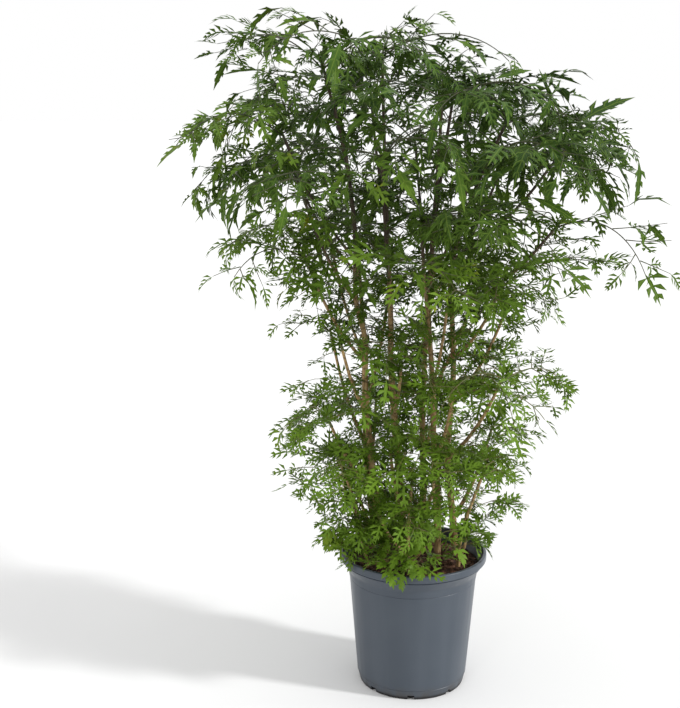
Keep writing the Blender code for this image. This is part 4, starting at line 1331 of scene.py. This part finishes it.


# Stalks: green and brown, with painted shade darkening them in the crown
stalkColours = {
    "lowGreen": (0.090, 0.135, 0.028), "lowBrown": (0.170, 0.120, 0.040),
    # The high colours are the low ones darkened: painted shade in the crown
    "highGreen": (0.026, 0.050, 0.010), "highBrown": (0.050, 0.040, 0.016),
    "crownShadeHeights": (0.45, 0.80), "streakScale": 160.0, "roughness": 0.50,
}


def stalkMaterial():
    material, tree, shader = newMaterial("stalkSkin")
    streaks = objectNoise(tree, stalkColours["streakScale"], 3.0, (1.0, 1.0, 0.4))
    low, high = (colourRamp(tree, streaks, [(0.3, stalkColours[part + "Green"]),
                                            (0.7, stalkColours[part + "Brown"])])
                 for part in ("low", "high"))
    # Painted shade: the stalks change to their darker copies up in the crown
    colour = mixColour(tree, heightShare(tree, *stalkColours["crownShadeHeights"]), low, high)
    tree.links.new(colour, shader.inputs["Base Color"])
    shader.inputs["Roughness"].default_value = stalkColours["roughness"]
    addBump(tree, shader, streaks, 0.2, 0.0004)
    return material


# Each stem's leaves are one piece: what its packed sprays hold, and the fronds between them
def makeFoliage(paths):
    tree, total = frondTree(), 0
    leafGreen, stalkSkin = leafMaterial(), stalkMaterial()
    kinds, numbers = leafletShapes(leafGreen)
    for name, stem in paths.items():
        draw = random.Random(f"{foliage['seed']} {name}")
        stalks, leaflets = [], []
        sprays = spraysOf(name, stem)
        step = foliage["shootStep" if name.endswith("shoot") else "sideStep"]
        fronds = leaningFronds(name, stem[0][0], draw)
        for spray, (points, _) in zip(sprays, stem):
            addBud(spray, stalks, leaflets, numbers, draw)
            fronds += findFronds(spray) + crownFronds(spray, draw) + sideFronds(points, step, draw)
        for i, frond in enumerate(fronds):
            keepUnder(frond)
            growFrond(frond, stalks, leaflets, numbers, random.Random(f"{foliage['seed']} {name} {i}"))
        leaflets = [drafted for drafted in leaflets if staysClear(drafted)]
        label = pieceName("foliage", name)
        made = addObject(label, sketchMesh(label, stalks, leaflets))
        growFrom(made, tree, {"Step": foliage["stalkStep"], "Sides": foliage["stalkSides"], "Ridge": 0.0,
                              "Ring": foliage["stalkRing"], "Leaflets": kinds,
                              "Stalk Material": stalkSkin, "Leaf Material": leafGreen})
        print("fronds", len(fronds), "leaflets", len(leaflets))
        total += dress(made, "leaf_green", *[spray["name"] for spray in sprays])
    return total


# Floor, light and camera
stage = {
    "floorSize": 60.0, "floorColour": (0.79, 0.79, 0.79), "worldColour": (1.0, 1.0, 1.0),
    "worldStrength": 1.0,
    "sun": {"turn": -16.4, "height": 32.0, "softness": 6.0, "strength": 2.30},
    "lights": {
        "tall": {"place": (1.2, -1.7, 1.4), "size": (0.35, 1.8), "power": 1.2},
        "band": {"place": (-0.7, -2.0, 1.5), "size": (0.25, 1.8), "power": 4.5},
    },
    "aim": (0.0, 0.0, 0.50),
    "cameraPlace": (0.0, -1.9143, 0.9717), "cameraPitch": 77.628, "cameraTurn": 3.5865,
    "focalPixels": 1233.5, "imageHeight": 708, "sensor": 36.0,
}


def makeStage():
    mesh = bpy.data.meshes.new("floor")
    half = stage["floorSize"] / 2
    mesh.from_pydata([(-half, -half, 0.0), (half, -half, 0.0), (half, half, 0.0), (-half, half, 0.0)],
                     [], [(0, 1, 2, 3)])
    floor = addObject("floor", mesh)
    material, _, shader = newMaterial("paleFloor")
    shader.inputs["Base Color"].default_value = (*stage["floorColour"], 1.0)
    shader.inputs["Roughness"].default_value = 0.9
    shader.inputs["Specular IOR Level"].default_value = 0.0
    mesh.materials.append(material)
    world = bpy.data.worlds.new("studio")
    world.use_nodes = True
    sky = world.node_tree.nodes["Background"]
    sky.inputs["Color"].default_value = (*stage["worldColour"], 1.0)
    sky.inputs["Strength"].default_value = stage["worldStrength"]
    bpy.context.scene.world = world
    sun = bpy.data.lights.new("sun", "SUN")
    sun.energy = stage["sun"]["strength"]
    sun.angle = math.radians(stage["sun"]["softness"])
    shining = addObject("sun", sun)
    shining.rotation_euler = (math.radians(90.0 - stage["sun"]["height"]), 0.0,
                              math.radians(90.0 + stage["sun"]["turn"]))
    for name, lamp in stage["lights"].items():
        light = bpy.data.lights.new(name, "AREA")
        light.shape = "RECTANGLE"
        light.size, light.size_y = lamp["size"]
        light.energy = lamp["power"]
        made = addObject(name, light)
        made.location = lamp["place"]
        made.rotation_euler = (Vector(stage["aim"]) - made.location).to_track_quat("-Z", "Y").to_euler()


def makeCamera():
    lens = bpy.data.cameras.new("camera")
    lens.sensor_width = stage["sensor"]
    lens.lens = stage["focalPixels"] / stage["imageHeight"] * stage["sensor"]
    camera = addObject("camera", lens)
    camera.location = stage["cameraPlace"]
    camera.rotation_euler = (math.radians(stage["cameraPitch"]), 0.0, math.radians(stage["cameraTurn"]))
    bpy.context.scene.camera = camera


bpy.context.scene.view_settings.view_transform = "Standard"
makeStage()
makeCamera()
print("stage and camera set")
allPaths = {name: stemPaths(stem) for name, stem in stems.items()}
triangles = makePot() + makeSoil()
print("pot and soil made")
triangles += makeStems(allPaths)
print("stems made")
triangles += makeFoliage(allPaths)
print("foliage made,", triangles, "triangles in all")
